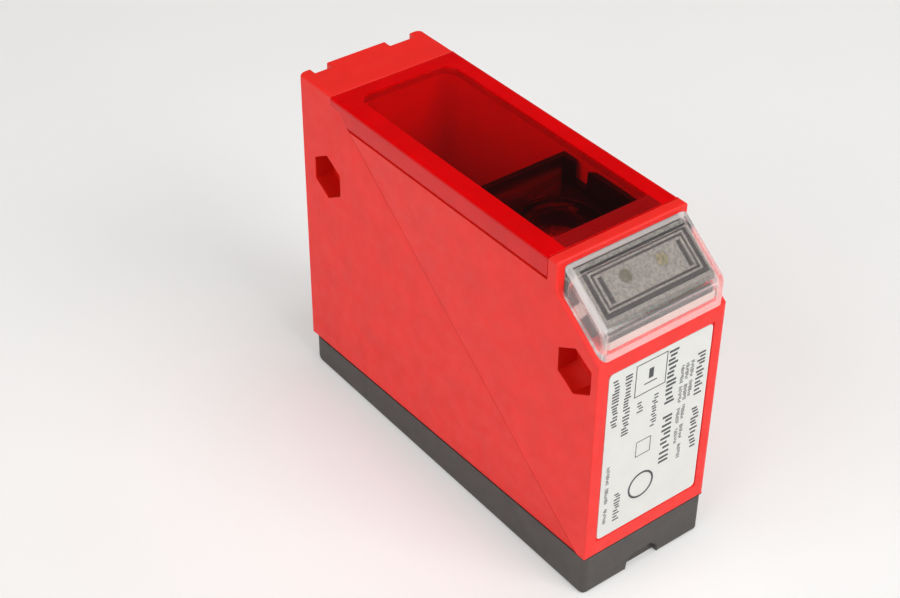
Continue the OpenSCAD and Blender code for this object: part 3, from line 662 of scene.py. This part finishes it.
class SENSOR_OT_window(bpy.types.Operator):
    """Red window: a clear pane in a frame that wraps over both sides"""
    bl_idname = "sensor.window"
    bl_label = "Front window"

    def execute(self, context):
        colours, sizes = context.scene.sensor_colours, context.scene.sensor_sizes
        low, high = box_mm("front_window")
        # The plate lies a hair above its ledge, and its clear field is sunk a little
        plate, ledge, sink, pane, grip = 2.0, 0.05, 0.14, 0.4, 0.02
        # Its skirts hang over both sides, and slant back at the plug end
        skirt, slant, shadow_gap, skirt_start = 1.1, 2.4, 0.4, low.x + 2.9
        border, far_border, near_border, far_radius, near_radius = 4.0, 3.3, 3.6, 3.2, 0.6
        under = high.z - plate + ledge
        field = (low.x + far_border, high.x - near_border, high.y - border)
        bm = bmesh.new()
        corners = [(low.x, low.y), (high.x, low.y), (high.x, high.y), (low.x, high.y)]
        edges = closed_loop(bm, corners, under)
        edges += closed_loop(bm, rounded_plan(*field, far_radius, near_radius), under)
        bmesh.ops.triangle_fill(bm, edges=edges, use_beauty=True)
        for y in (-1, 1):
            cut(bm, (0, y * (high.y - skirt), 0), (0, 1, 0))
            cut(bm, (0, y * field[2], 0), (0, 1, 0))
        cut(bm, (skirt_start, 0, 0), (1, 0, 0))
        cut(bm, (field[1], 0, 0), (1, 0, 0))
        plan = bm.faces[:]
        strips = [face for face, centre in placed_faces(bm)
                  if abs(centre.y) > high.y - skirt and centre.x > skirt_start]
        extruded(bm, plan, (0, 0, plate - ledge))
        for vert in extruded(bm, strips, (0, 0, low.z + shadow_gap - under))[0]:
            if vert.co.x / MM < skirt_start + 0.1:
                vert.co.x += slant * MM
        bmesh.ops.delete(bm, geom=[f for f in strips if f.is_valid], context="FACES_KEEP_BOUNDARY")
        join_places(bm)
        face_outwards(bm)
        for face, centre in placed_faces(bm):
            if face.normal.z > 0.9 and field[1] < centre.x and abs(centre.y) < field[2]:
                face.material_index = 1
        join_flat(bm, "MATERIAL")
        top, sides = about(high.z), about(high.y)
        rules = [
            (field[0] - 0.1, field[1] + 0.1, 0, field[2] + 0.1, *top, 0.0),
            (*about(high.x), 0, high.y - 0.1, *top, 0.12),
            (*about(low.x), 0, high.y - 0.1, *top, 0.3),
            (*ANY, *sides, *top, sizes.window_round),
            (*ANY, *sides, *ANY, 0.15),
        ]
        rounded_piece("window_frame", bm, [
            backed_acrylic("Red acrylic over red", colours.window_rim, 0.16),
            backed_acrylic("Red acrylic over black", darker(colours.window_rim, 0.42), 0.3),
        ], "front_window", rules, 0.0)
        bm = bmesh.new()
        outline = rounded_plan(field[0] - grip, field[1] + grip, field[2] + grip,
                               far_radius + grip, near_radius + grip)
        bmesh.ops.contextual_create(bm, geom=closed_loop(bm, outline, high.z - sink - pane))
        extruded(bm, bm.faces[:], (0, 0, pane))
        face_outwards(bm)
        clear = make_piece("window_pane", bm, [tinted_acrylic(colours.window)])
        let_lamps_through(clear)
        return {"FINISHED"}


class SENSOR_OT_indicator_cover(bpy.types.Operator):
    """Clear moulded cover over the indicator: a hollow shell with an open foot"""
    bl_idname = "sensor.indicator_cover"
    bl_label = "Indicator cover"

    def execute(self, context):
        colours, sizes = context.scene.sensor_colours, context.scene.sensor_sizes
        inner_round = 0.35
        bm = bmesh.new()
        rims = self.skin(bm, 0.0, sizes.cover_round, 0.6)
        rims += self.skin(bm, COVER_WALL, inner_round, inner_round)
        bmesh.ops.triangle_fill(bm, edges=rims, use_beauty=True)
        face_outwards(bm)
        # Walls and brow, then the weld: foot, rounded sides and the strip over the back wall
        low, high = box_mm("indicator_cover")
        normal = slope_normal()
        for face, centre in placed_faces(bm):
            depth = (Vector((low.x, 0, high.z)) - centre).dot(normal)
            if abs(face.normal.y) > 0.8 or face.normal.x > 0.66:
                face.material_index = 2
            elif (abs(face.normal.y) > 0.05 or centre.x < low.x + COVER_WALL
                  or depth > 4 and face.normal.z < -0.5):
                face.material_index = 1
        weld, wall = darker(colours.cover, 0.9), darker(colours.cover, 0.94)
        let_lamps_through(make_piece("indicator_cover_moulding", bm, [
            clear_polycarbonate("Clear polycarbonate", colours.cover, 0.02, 0.06, 0.03),
            clear_polycarbonate("Clear polycarbonate at its weld", weld, 0.12, 0.2, 0.32),
            clear_polycarbonate("Clear polycarbonate wall", wall, 0.16, 0.24, 0.035),
        ], "indicator_cover"))
        return {"FINISHED"}

    def skin(self, bm, depth, radius, corner, steps=8):
        """One skin of the shell, depth below the outside, and the edges of its open foot."""
        half = box_mm("indicator_cover")[1].y - depth - radius
        turns = [math.radians(90 * i / steps) for i in range(steps + 1)]
        rings = [(-half - radius * math.sin(a), depth + radius * (1 - math.cos(a)))
                 for a in reversed(turns)]
        rings += [(-y, inset) for y, inset in reversed(rings)]
        rows = [[bm.verts.new((x * MM, y * MM, z * MM))
                 for x, z in self.section(inset, depth, corner)] for y, inset in rings]
        for first, second in zip(rows, rows[1:]):
            for i in range(len(first) - 1):
                bm.faces.new((first[i], first[i + 1], second[i + 1], second[i]))
        foot = []
        for row in (rows[0], rows[-1]):
            bm.faces.new(row)
            foot.append(bm.edges.get((row[0], row[-1])))
        for end in (0, -1):
            foot += [bm.edges.get((one[end], other[end])) for one, other in zip(rows, rows[1:])]
        return foot

    @staticmethod
    def section(inset, depth, corner, brow=2.4, steps=8):
        """Side profile from the back foot over the roof to the front foot, inset from outside."""
        low, high = box_mm("indicator_cover")
        normal = slope_normal()
        fall = normal.x / normal.z

        def seat(x):
            return low.z + (high.x - x) * fall

        def roof(x):
            return high.z - (x - low.x) * fall - inset / normal.z

        back, front = low.x + inset, high.x - inset
        path = [(back, seat(back))]
        up, out = Vector((normal.x, normal.z)), Vector((1, 0))
        for x, first, second, radius in ((back, -out, up, corner), (front, up, out, brow - depth)):
            radius = max(radius - (inset - depth), 0.1)
            centre = Vector((x, roof(x))) - (first + second) * (radius / (1 + first.dot(second)))
            for i in range(steps + 1):
                path.append(tuple(centre + first.slerp(second, i / steps) * radius))
            if x == back and depth == 0:
                # Ends the milky border above the back wall
                path.append((low.x + COVER_WALL, roof(low.x + COVER_WALL)))
        return path + [(front, seat(front))]


class SENSOR_OT_indicator_plate(bpy.types.Operator):
    """Grained grey plate with dark sunk lines, just below the clear cover"""
    bl_idname = "sensor.indicator_plate"
    bl_label = "Indicator plate"

    def execute(self, context):
        colours = context.scene.sensor_colours
        middle, normal, down, half, across = plate_top()
        thick, deep, wide, thin, apron, sheet = 1.2, 0.3, 0.95, 0.45, 3.2, 0.6

        def place(u, v):
            return middle + down * u + Vector((0, v, 0))

        # Sunk lines: two frames, one in the other: (half length, half width, line), and a mark at
        # each end: (u0, u1, v0, v1), mm
        frames = [(half - 0.75, across - 0.95, wide), (half - 2.05, across - 2.35, thin)]
        marks = [(-2.5, 2.6, v, v + wide) for v in (-8.95, 8.95)]

        def sunk(u, v):
            reach_u, reach_v = abs(u), abs(v - ASIDE)
            framed = any(reach_u < fu and reach_v < fv
                         and not (reach_u < fu - w and reach_v < fv - w) for fu, fv, w in frames)
            return framed or any(u0 < u < u1 and v0 < v < v1 for u0, u1, v0, v1 in marks)

        bm = bmesh.new()
        bm.faces.new([bm.verts.new(place(u, v) * MM) for u, v in (
            (-half, -across), (half, -across), (half, across), (-half, across))])
        us = {sign * u for fu, _, w in frames for u in (fu, fu - w) for sign in (-1, 1)}
        vs = {ASIDE + sign * v for _, fv, w in frames for v in (fv, fv - w) for sign in (-1, 1)}
        for u in sorted(us | {m for mark in marks for m in mark[:2]}):
            cut(bm, place(u, 0), down)
        for v in sorted(vs | {m for mark in marks for m in mark[2:]}):
            cut(bm, place(0, v), (0, 1, 0))
        lines = [face for face, centre in placed_faces(bm)
                 if sunk((centre - middle).dot(down), centre.y)]
        for face in extruded(bm, lines, normal * -deep)[1]:
            face.material_index = 1
        bmesh.ops.delete(bm, geom=lines, context="FACES_KEEP_BOUNDARY")
        # Walls and underside: the outline goes straight down, so the ends stay clear of the cover
        outline = [e for e in bm.edges if e.is_boundary]
        moved(bm, bmesh.ops.extrude_edge_only(bm, edges=outline)["geom"], (0, 0, -thick))
        bmesh.ops.holes_fill(bm, edges=[e for e in bm.edges if e.is_boundary])
        join_flat(bm, "MATERIAL")
        # Side aprons below the plate: a pale foot between two dark boxes, painted shade that stands for
        # openings. (u0, u1, material)
        tilt = Matrix((down, Vector((0, 1, 0)), normal)).transposed().to_4x4()
        for v in (-1, 1):
            for u0, u1, index in ((-half + 0.6, -0.2, 1), (-0.2, 2.1, 2), (2.1, half + 0.4, 1)):
                centre = place((u0 + u1) / 2, v * (across - 0.35)) - normal * (0.7 + apron / 2)
                add_box(bm, centre, (u1 - u0, sheet, apron), index, tilt)
        # Front apron: a dark box of painted shade that stands for a slot, above a pale lip. (middle y,
        # z0, z1, material)
        cover_low, cover_high = box_mm("indicator_cover")
        front = cover_high.x - COVER_WALL - 0.4
        foot = cover_low.z + (cover_high.x - front + 0.3) * normal.x / normal.z + 0.1
        slot = place(half, 0).z - thick - 1.15
        for y, z0, z1, index in ((-0.6, slot, slot + 0.95, 1), (0, foot, slot, 2)):
            add_box(bm, (front, y, (z0 + z1) / 2), (sheet, 24.2, z1 - z0), index)
        face_outwards(bm)
        rounded_piece("indicator_plate_moulding", bm, [
            grained_plate(colours.plate),
            moulded_abs("Black line and painted shade", colours.plate_line_and_shade, 0.5, 0.03, 0.5),
            moulded_abs("Pale ABS foot", srgb("DCC6C0"), 0.5, 0.03, 0.5),
        ], "indicator_plate", [], 0.08, segments=2)
        return {"FINISHED"}


class SENSOR_OT_lamps(bpy.types.Operator):
    """Two unlit lamps: an epoxy dome over a metal cup"""
    bl_idname = "sensor.lamps"
    bl_label = "Lamps"

    def execute(self, context):
        colours, sizes = context.scene.sensor_colours, context.scene.sensor_sizes
        cup_metal = metal("Silvered lead frame", "D8D4CC", 0.3, 0.2, 0.35)
        seat_grey = moulded_abs("Grey ABS lamp seat", srgb("64645E"), 0.5, 0.03, 0.5)
        middle, tilt, down, _, _ = plate_top()
        # Down the slope from the plate's middle, across, and below it
        up_slope, apart, sunk = -0.7, 4.15, 0.65
        radius, straight, rounding, foot = 1.3, 1.2, 0.23, -0.725
        for node, colour in (("lamp_green", colours.lamp_green),
                             ("lamp_yellow", colours.lamp_yellow)):
            side = math.copysign(1, middle_of(node).y)
            aside = Vector((0, ASIDE + side * apart, 0))
            centre = (middle + down * up_slope + aside - tilt * sunk) * MM
            shoulder = foot + straight
            dome = [(foot, 0), (foot, radius), (shoulder, radius)]
            dome += [(shoulder + rounding * math.sin(a), radius - rounding + rounding * math.cos(a))
                     for a in (math.radians(d) for d in (22.5, 45, 67.5, 90))]
            dome += [(shoulder + rounding, 0)]
            inside, outside = radius + 0.02, radius + 0.15
            ring = [(0.3, inside), (0.3, outside), (0.67, outside), (0.67, inside)]
            cup = [(foot + 0.15, 0.0), (foot + 0.15, 0.75), (foot + 0.55, 0.9),
                   (foot + 0.55, 0.78), (foot + 0.3, 0.45), (foot + 0.3, 0.0)]
            dome, ring, cup = (turned(outline, centre, tilt, sizes.round_steps)
                               for outline in (dome, ring, cup))
            epoxy = lamp_epoxy("Epoxy " + node.split("_")[1], colour)
            let_lamps_through(make_piece(node + "_dome", dome, [epoxy], node))
            seat = make_piece(node + "_seat", ring, [seat_grey])
            holder = make_piece(node + "_cup", cup, [cup_metal])
        return {"FINISHED"}


class SENSOR_OT_label(bpy.types.Operator):
    """White film label with generic printed bars"""
    bl_idname = "sensor.label"
    bl_label = "Label"

    def execute(self, context):
        colours = context.scene.sensor_colours
        rounded_copy("label_film", "rating_label",
                     printed_film("White polyester film", colours.label, 0.42), [], 0.05, 2)
        low, high = box_mm("rating_label")
        middle_y, ink_thick = (low.y + high.y) / 2, 0.02
        bm = bmesh.new()

        def add_bar(across, start, end, wide):
            """One printed bar, as thin as ink."""
            centre = (high.x + ink_thick / 2, middle_y + across, high.z - (start + end) / 2)
            add_box(bm, centre, (ink_thick, wide, end - start))

        # Rows of short strokes in place of text. Each row runs down the label:
        # (across, start, end, height, words), mm
        rows = [
            (10.1, 5.4, 30.2, 1.9, 2), (8.0, 6.4, 15.6, 0.85, 2), (6.8, 6.4, 30.0, 0.85, 5),
            (5.6, 6.4, 26.0, 0.85, 4), (3.0, 1.4, 30.6, 2.3, 2), (-0.6, 9.8, 17.8, 1.4, 1),
            (-4.2, 9.8, 12.6, 1.4, 1), (-7.5, 2.0, 16.4, 1.6, 1), (-10.4, 1.8, 13.0, 1.6, 1),
            (-7.9, 29.6, 36.6, 1.5, 1), (-10.7, 21.8, 36.8, 0.85, 3),
        ]
        chance = random.Random(4)
        for across, start, end, tall, words in rows:
            pitch, at = tall * 0.44, start
            space = (end - start) / words
            while at < end - pitch / 2:
                if (at - start) % space < space - 1.2 * tall or words == 1:
                    # Bars of mixed height and place, so a row reads as print from a distance
                    foot, head = chance.choice(((0, 1), (0, 1), (0, 0.7), (0.3, 1), (0.15, 0.85)))
                    add_bar(across + tall * ((foot + head) / 2 - 0.5), at, at + pitch * 0.5,
                            tall * (head - foot))
                at += pitch * chance.uniform(0.85, 1.2)
        # Outlined boxes and a bar where the film carries small figures: (across, start, end, width)
        for bar in (
                (1.4, 1.0, 8.2, 0.2), (-5.8, 1.0, 8.2, 0.2), (-2.2, 1.0, 1.2, 7.2),
                (-2.2, 8.0, 8.2, 7.2), (-2.2, 3.0, 5.2, 1.1), (-2.2, 6.0, 6.25, 3.0),
                (-0.8, 19.4, 23.0, 0.16), (-4.2, 19.4, 23.0, 0.16), (-2.5, 19.4, 19.56, 3.4),
                (-2.5, 22.84, 23.0, 3.4)):
            add_bar(*bar)
        ink = printed_film("Black ink", colours.ink, 0.38)
        print_piece = make_piece("label_print", bm, [ink])
        # A printed ring near the label's lower end
        outline = [(0, 2.65), (ink_thick, 2.65), (ink_thick, 3.1), (0, 3.1)]
        ring_at = Vector((high.x, middle_y - 2.2, high.z - 30.6)) * MM
        ring = make_piece("label_ring", turned(outline, ring_at, (1, 0, 0), 48), [ink])
        return {"FINISHED"}


class SENSOR_OT_rear_cover(bpy.types.Operator):
    """Black moulded rear cover that the sensor lies on"""
    bl_idname = "sensor.rear_cover"
    bl_label = "Rear cover"

    def execute(self, context):
        colours, sizes = context.scene.sensor_colours, context.scene.sensor_sizes
        low, high = box_mm("rear_cover")
        rules = [
            # Notch in the label end, and what is sunk into the underside
            (high.x - 2, high.x + 0.1, 0, 4.8, low.z - 0.1, 4.6, 0.2),
            (low.x + 4, high.x - 2, 0, high.y - 2.5, *about(low.z), 0.25),
            # Upright corners at the label end, then everything inside
            (*about(high.x), high.y - 0.2, high.y + 0.1, 0.1, 8, sizes.base_round + 0.5),
            (low.x + 0.5, high.x - 0.5, 0, high.y - 0.5, low.z + 0.1, high.z + 0.1, 0.0),
            (*ANY, *ANY, 5.0, high.z + 0.1, 0.12),
        ]
        black = moulded_abs("Black ABS moulded", colours.base, 0.45, 0.06, 0.55, mottle=0.8)
        rounded_copy("rear_cover_moulding", "rear_cover", black, rules, sizes.base_round)
        return {"FINISHED"}


class SENSOR_OT_fasteners(bpy.types.Operator):
    """Zinc-plated cover screws and board screws"""
    bl_idname = "sensor.fasteners"
    bl_label = "Fasteners"

    def execute(self, context):
        zinc = metal("Zinc plated steel", "C4C6C8", 0.35, 0.22, 0.42)
        low, _ = box_mm("rear_cover_screws")
        heads = (*ANY, *ANY, low.z - 0.1, low.z + 1.9, 0.18)
        rounded_copy("cover_screws", "rear_cover_screws", zinc, [heads], 0.1, 2)
        finish_nodes(zinc, "board_screws")
        return {"FINISHED"}


class SENSOR_OT_optics(bpy.types.Operator):
    """Black carrier, lens, lens ring and emitter diode behind the window"""
    bl_idname = "sensor.optics"
    bl_label = "Optics"

    def execute(self, context):
        colours = context.scene.sensor_colours
        black = moulded_abs("Black polycarbonate moulded", colours.carrier, 0.6, 0.03, 0.38)
        low, high = box_mm("optics_carrier")
        hidden = (*ANY, 0, 20, low.z - 1, high.z - 3, 0.0)
        rounded_copy("optics_carrier_moulding", "optics_carrier", black, [hidden], 0.25)
        rounded_copy("lens_ring_moulding", "lens_ring", black, [], 0.15, 2)
        bm = merged("lens")
        foot, clear_of_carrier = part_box("lens")[0].z, 0.04 * MM
        for vert in bm.verts:
            if abs(vert.co.z - foot) < MERGE_DISTANCE:
                vert.co.z += clear_of_carrier
        let_lamps_through(make_piece("lens_polished", bm, [lens_polymer()], "lens"))
        finish_nodes(lamp_epoxy("Epoxy diode", srgb("7E8CB8")), "emitter_diode")
        return {"FINISHED"}


class SENSOR_OT_connector(bpy.types.Operator):
    """Round plug: threaded shell, insert, pins, nut and leads"""
    bl_idname = "sensor.connector"
    bl_label = "Connector"

    def execute(self, context):
        sizes = context.scene.sensor_sizes
        nickel = metal("Nickel plated brass", "CFC8B8", 0.5, 0.16, 0.3)
        low, high = box_mm("connector_shell")
        centre, axis = middle_of("connector_shell"), Vector((-1, 0, 0))
        middle = centre.x / MM
        tip, back = middle - low.x, middle - high.x
        # Along the axis from the shell's middle: the flange's faces, at x = -47.5 and x = -45.5
        out, inner = middle + 47.5, middle + 45.5
        radius, bore, flange, bevel = 6.0, 5.1, (high.y - low.y) / 2, 0.4
        root = radius - 0.55 * sizes.thread_pitch
        profile = [
            (back, bore), (back, radius - 0.3), (back + 0.3, radius), (inner, radius),
            (inner, flange), (out - bevel, flange), (out, flange - bevel), (out, root),
            (tip - 0.35, root), (tip, root - 0.3), (tip, bore + 0.15), (tip - 0.15, bore),
        ]
        make_piece("connector_shell_turned", turned(profile, centre, axis, sizes.round_steps),
                   [nickel], "connector_shell")
        ridge = self.thread(centre, axis, out + 0.2, tip - 0.5, root, radius, sizes.thread_pitch)
        thread = make_piece("connector_thread", ridge, [nickel])
        finish_nodes(nickel, "connector_nut")
        finish_nodes(metal("Gold plated brass", "E0B860", 0.4, 0.14, 0.26), "contact_pins")
        finish_nodes(moulded_abs("Black polyamide", srgb("1A1A1C"), 0.4, 0.03, 0.48),
                     "connector_insert")
        finish_nodes(moulded_abs("Black nitrile rubber", srgb("161616"), 0.3, 0.04, 0.7),
                     "connector_o_ring", "rear_cover_seal")
        finish_nodes(moulded_abs("Brown PVC insulation", srgb("5A3420"), 0.8, 0.02, 0.4),
                     "connector_leads")
        return {"FINISHED"}

    @staticmethod
    def thread(centre, axis, start, end, root, crest, pitch, turn_steps=48):
        """A helical ridge of the thread, wound around the shell's root."""
        turns = int((end - start) / pitch) - 1
        side = axis.orthogonal().normalized()
        bm = bmesh.new()
        section = [(0.06, root - 0.05), (0.44, crest), (0.56, crest), (0.94, root - 0.05)]
        verts = [bm.verts.new(centre + (axis * (start + along * pitch) + side * radius) * MM)
                 for along, radius in section]
        face = bm.faces.new(verts)
        bmesh.ops.spin(bm, geom=[face, *face.edges, *face.verts], cent=centre, axis=axis,
                       dvec=axis * (pitch * MM / turn_steps), angle=2 * math.pi * turns,
                       steps=turn_steps * turns, use_merge=False)
        join_places(bm)
        face_outwards(bm)
        return bm


class SENSOR_OT_electronics(bpy.types.Operator):
    """Finishes of the boards and their parts"""
    bl_idname = "sensor.electronics"
    bl_label = "Electronics"

    def execute(self, context):
        finish_nodes(solder_mask(), "main_board", "indicator_board")
        finish_nodes(moulded_abs("Black moulding epoxy", srgb("1C1C1E"), 0.3, 0.02, 0.6),
                     "controller_chip", "voltage_regulator", "surge_diode")
        finish_nodes(metal("Drawn aluminium can", "C8CACC", 0.6, 0.25, 0.4), "capacitors")
        finish_nodes(moulded_abs("Natural nylon", srgb("E4DECC"), 0.5, 0.02, 0.45), "board_header")
        finish_nodes(moulded_abs("Polyimide film", srgb("B46A1E"), 0.9, 0.01, 0.3),
                     "indicator_flex")
        return {"FINISHED"}


# ---------------------------------------------------------------- stage

class SENSOR_OT_stage(bpy.types.Operator):
    """Pale floor, soft lamps, even surround and camera"""
    bl_idname = "sensor.stage"
    bl_label = "Stage"

    def execute(self, context):
        scene, settings = context.scene, context.scene.sensor_stage
        self.add_floor(scene, settings)
        target = middle_of("housing")
        for name, place, size, power in (
                ("Key lamp", (0.87, 0.20, 0.60), 0.66, settings.key_power),
                ("Top lamp", (0.10, 0.10, 1.00), 0.8, settings.top_power),
                ("Fill lamp", (0.05, -0.85, 0.55), 0.8, settings.fill_power)):
            lamp = bpy.data.lights.new(name, "AREA")
            lamp.size = size
            lamp.energy = power
            towards = (target - Vector(place)).to_track_quat("-Z", "Y").to_euler()
            self.stand(scene, name, lamp, place, towards)
        scene.world = self.surround(settings)
        camera = bpy.data.cameras.new("Camera")
        camera.lens = 70.19
        camera.sensor_width = 36.0
        camera.clip_start = 0.01
        scene.camera = self.stand(scene, "Camera", camera, (0.20837, -0.17306, 0.24234),
                                  [math.radians(a) for a in (52.582, -0.396, 52.551)])
        scene.view_settings.view_transform = "Standard"
        return {"FINISHED"}

    @staticmethod
    def stand(scene, name, data, place, rotation):
        """Puts a lamp or a camera in its place."""
        holder = bpy.data.objects.new(name, data)
        holder.location = place
        holder.rotation_euler = rotation
        scene.collection.objects.link(holder)
        return holder

    @staticmethod
    def surround(settings):
        """Walls of light around the table: bright low down, dim overhead."""
        world = bpy.data.worlds.new("Studio surround")
        world.use_nodes = True
        tree = world.node_tree
        tree.nodes.clear()
        direction = add(tree, "ShaderNodeTexCoord").outputs["Generated"]
        height = add(tree, "ShaderNodeSeparateXYZ", {"Vector": direction}).outputs["Z"]
        strength = spread(height, settings.surround, settings.overhead, 0.05, 0.45)
        light = add(tree, "ShaderNodeBackground", {"Color": WHITE, "Strength": strength})
        # What the camera sees past the floor
        seen = add(tree, "ShaderNodeBackground", {"Color": WHITE, "Strength": settings.backdrop})
        direct = add(tree, "ShaderNodeLightPath").outputs["Is Camera Ray"]
        chosen = add(tree, "ShaderNodeMixShader", {
            0: direct, 1: light.outputs[0], 2: seen.outputs[0],
        })
        add(tree, "ShaderNodeOutputWorld", {"Surface": chosen.outputs[0]})
        return world

    @staticmethod
    def add_floor(scene, settings):
        """A wide pale floor that keeps the sensor's shadow."""
        bm = bmesh.new()
        bmesh.ops.create_grid(bm, x_segments=8, y_segments=8, size=3.0)
        # A hair below the foot, so the two faces never share a plane
        moved(bm, bm.verts, (0, 0, -0.02))
        mesh = bpy.data.meshes.new("Floor")
        bm.to_mesh(mesh)
        bm.free()
        floor = bpy.data.objects.new("Floor", mesh)
        scene.collection.objects.link(floor)
        material, where = new_material("Pale laminate")
        tree = material.node_tree
        rays = add(tree, "ShaderNodeLightPath").outputs
        mottle = noise(where, 60.0)
        surface = add(tree, "ShaderNodeBsdfPrincipled", {
            "Base Color": patchy(settings.floor, 0.98, mottle), "Roughness": 0.6,
            "IOR": LAMINATE,
        }).outputs[0]
        # What is seen directly is partly lit from within, so it takes less red from the housing
        share = settings.floor_glow
        shaded = add(tree, "ShaderNodeBsdfDiffuse", {
            "Color": patchy(darker(settings.floor, 1 - share), 0.98, mottle),
        })
        # The glow fades towards -X, a painted shade that darkens the far left of the floor
        along = add(tree, "ShaderNodeSeparateXYZ", {"Vector": where}).outputs["X"]
        lift = add(tree, "ShaderNodeEmission", {
            "Color": (1.0, 0.995, 0.985, 1),
            "Strength": spread(along, 0.7 * share, share, -0.8, -0.05),
        })
        both = add(tree, "ShaderNodeAddShader", {0: shaded.outputs[0], 1: lift.outputs[0]})
        seen = rays["Is Camera Ray"]
        for kind in ("Is Glossy Ray", "Is Transmission Ray"):
            seen = add(tree, "ShaderNodeMath", {0: seen, 1: rays[kind]},
                       operation="MAXIMUM").outputs[0]
        near = add(tree, "ShaderNodeMixShader", {0: seen, 1: surface, 2: both.outputs[0]})
        # Beyond the lamps' reach the floor runs into the backdrop
        reach = add(tree, "ShaderNodeVectorMath", {0: where}, operation="LENGTH").outputs["Value"]
        fade = add(tree, "ShaderNodeMath", {
            0: spread(reach, 0.0, 1.0, 0.6, 1.8), 1: rays["Is Camera Ray"],
        }, operation="MULTIPLY")
        far = add(tree, "ShaderNodeEmission", {"Color": WHITE, "Strength": settings.backdrop})
        whole = add(tree, "ShaderNodeMixShader", {
            0: fade.outputs[0], 1: near.outputs[0], 2: far.outputs[0],
        })
        add(tree, "ShaderNodeOutputMaterial", {"Surface": whole.outputs[0]})
        mesh.materials.append(material)


# ---------------------------------------------------------------- panel and registration

STEPS = (
    SENSOR_OT_housing, SENSOR_OT_window, SENSOR_OT_indicator_cover, SENSOR_OT_indicator_plate,
    SENSOR_OT_lamps, SENSOR_OT_label, SENSOR_OT_rear_cover, SENSOR_OT_fasteners, SENSOR_OT_optics,
    SENSOR_OT_connector, SENSOR_OT_electronics, SENSOR_OT_stage,
)
GROUPS = {
    "sensor_colours": SensorColours, "sensor_sizes": SensorSizes, "sensor_stage": StageSettings,
}


class SENSOR_PT_build(bpy.types.Panel):
    """Lists the sensor's pieces"""
    bl_idname = "SENSOR_PT_build"
    bl_label = "Photoelectric Sensor"
    bl_space_type = "VIEW_3D"
    bl_region_type = "UI"
    bl_category = "Sensor"

    def draw(self, context):
        for group in GROUPS:
            settings = getattr(context.scene, group)
            for name in settings.__annotations__:
                self.layout.prop(settings, name)
        for step in STEPS:
            self.layout.operator(step.bl_idname)


CLASSES = (*GROUPS.values(), *STEPS, SENSOR_PT_build)


def register():
    for cls in CLASSES:
        bpy.utils.register_class(cls)
    for name, group in GROUPS.items():
        setattr(bpy.types.Scene, name, PointerProperty(type=group))


def unregister():
    for name in GROUPS:
        delattr(bpy.types.Scene, name)
    for cls in reversed(CLASSES):
        bpy.utils.unregister_class(cls)


def main():
    register()
    for step in STEPS:
        group, name = step.bl_idname.split(".")
        getattr(getattr(bpy.ops, group), name)()


if __name__ == "__main__":
    main()
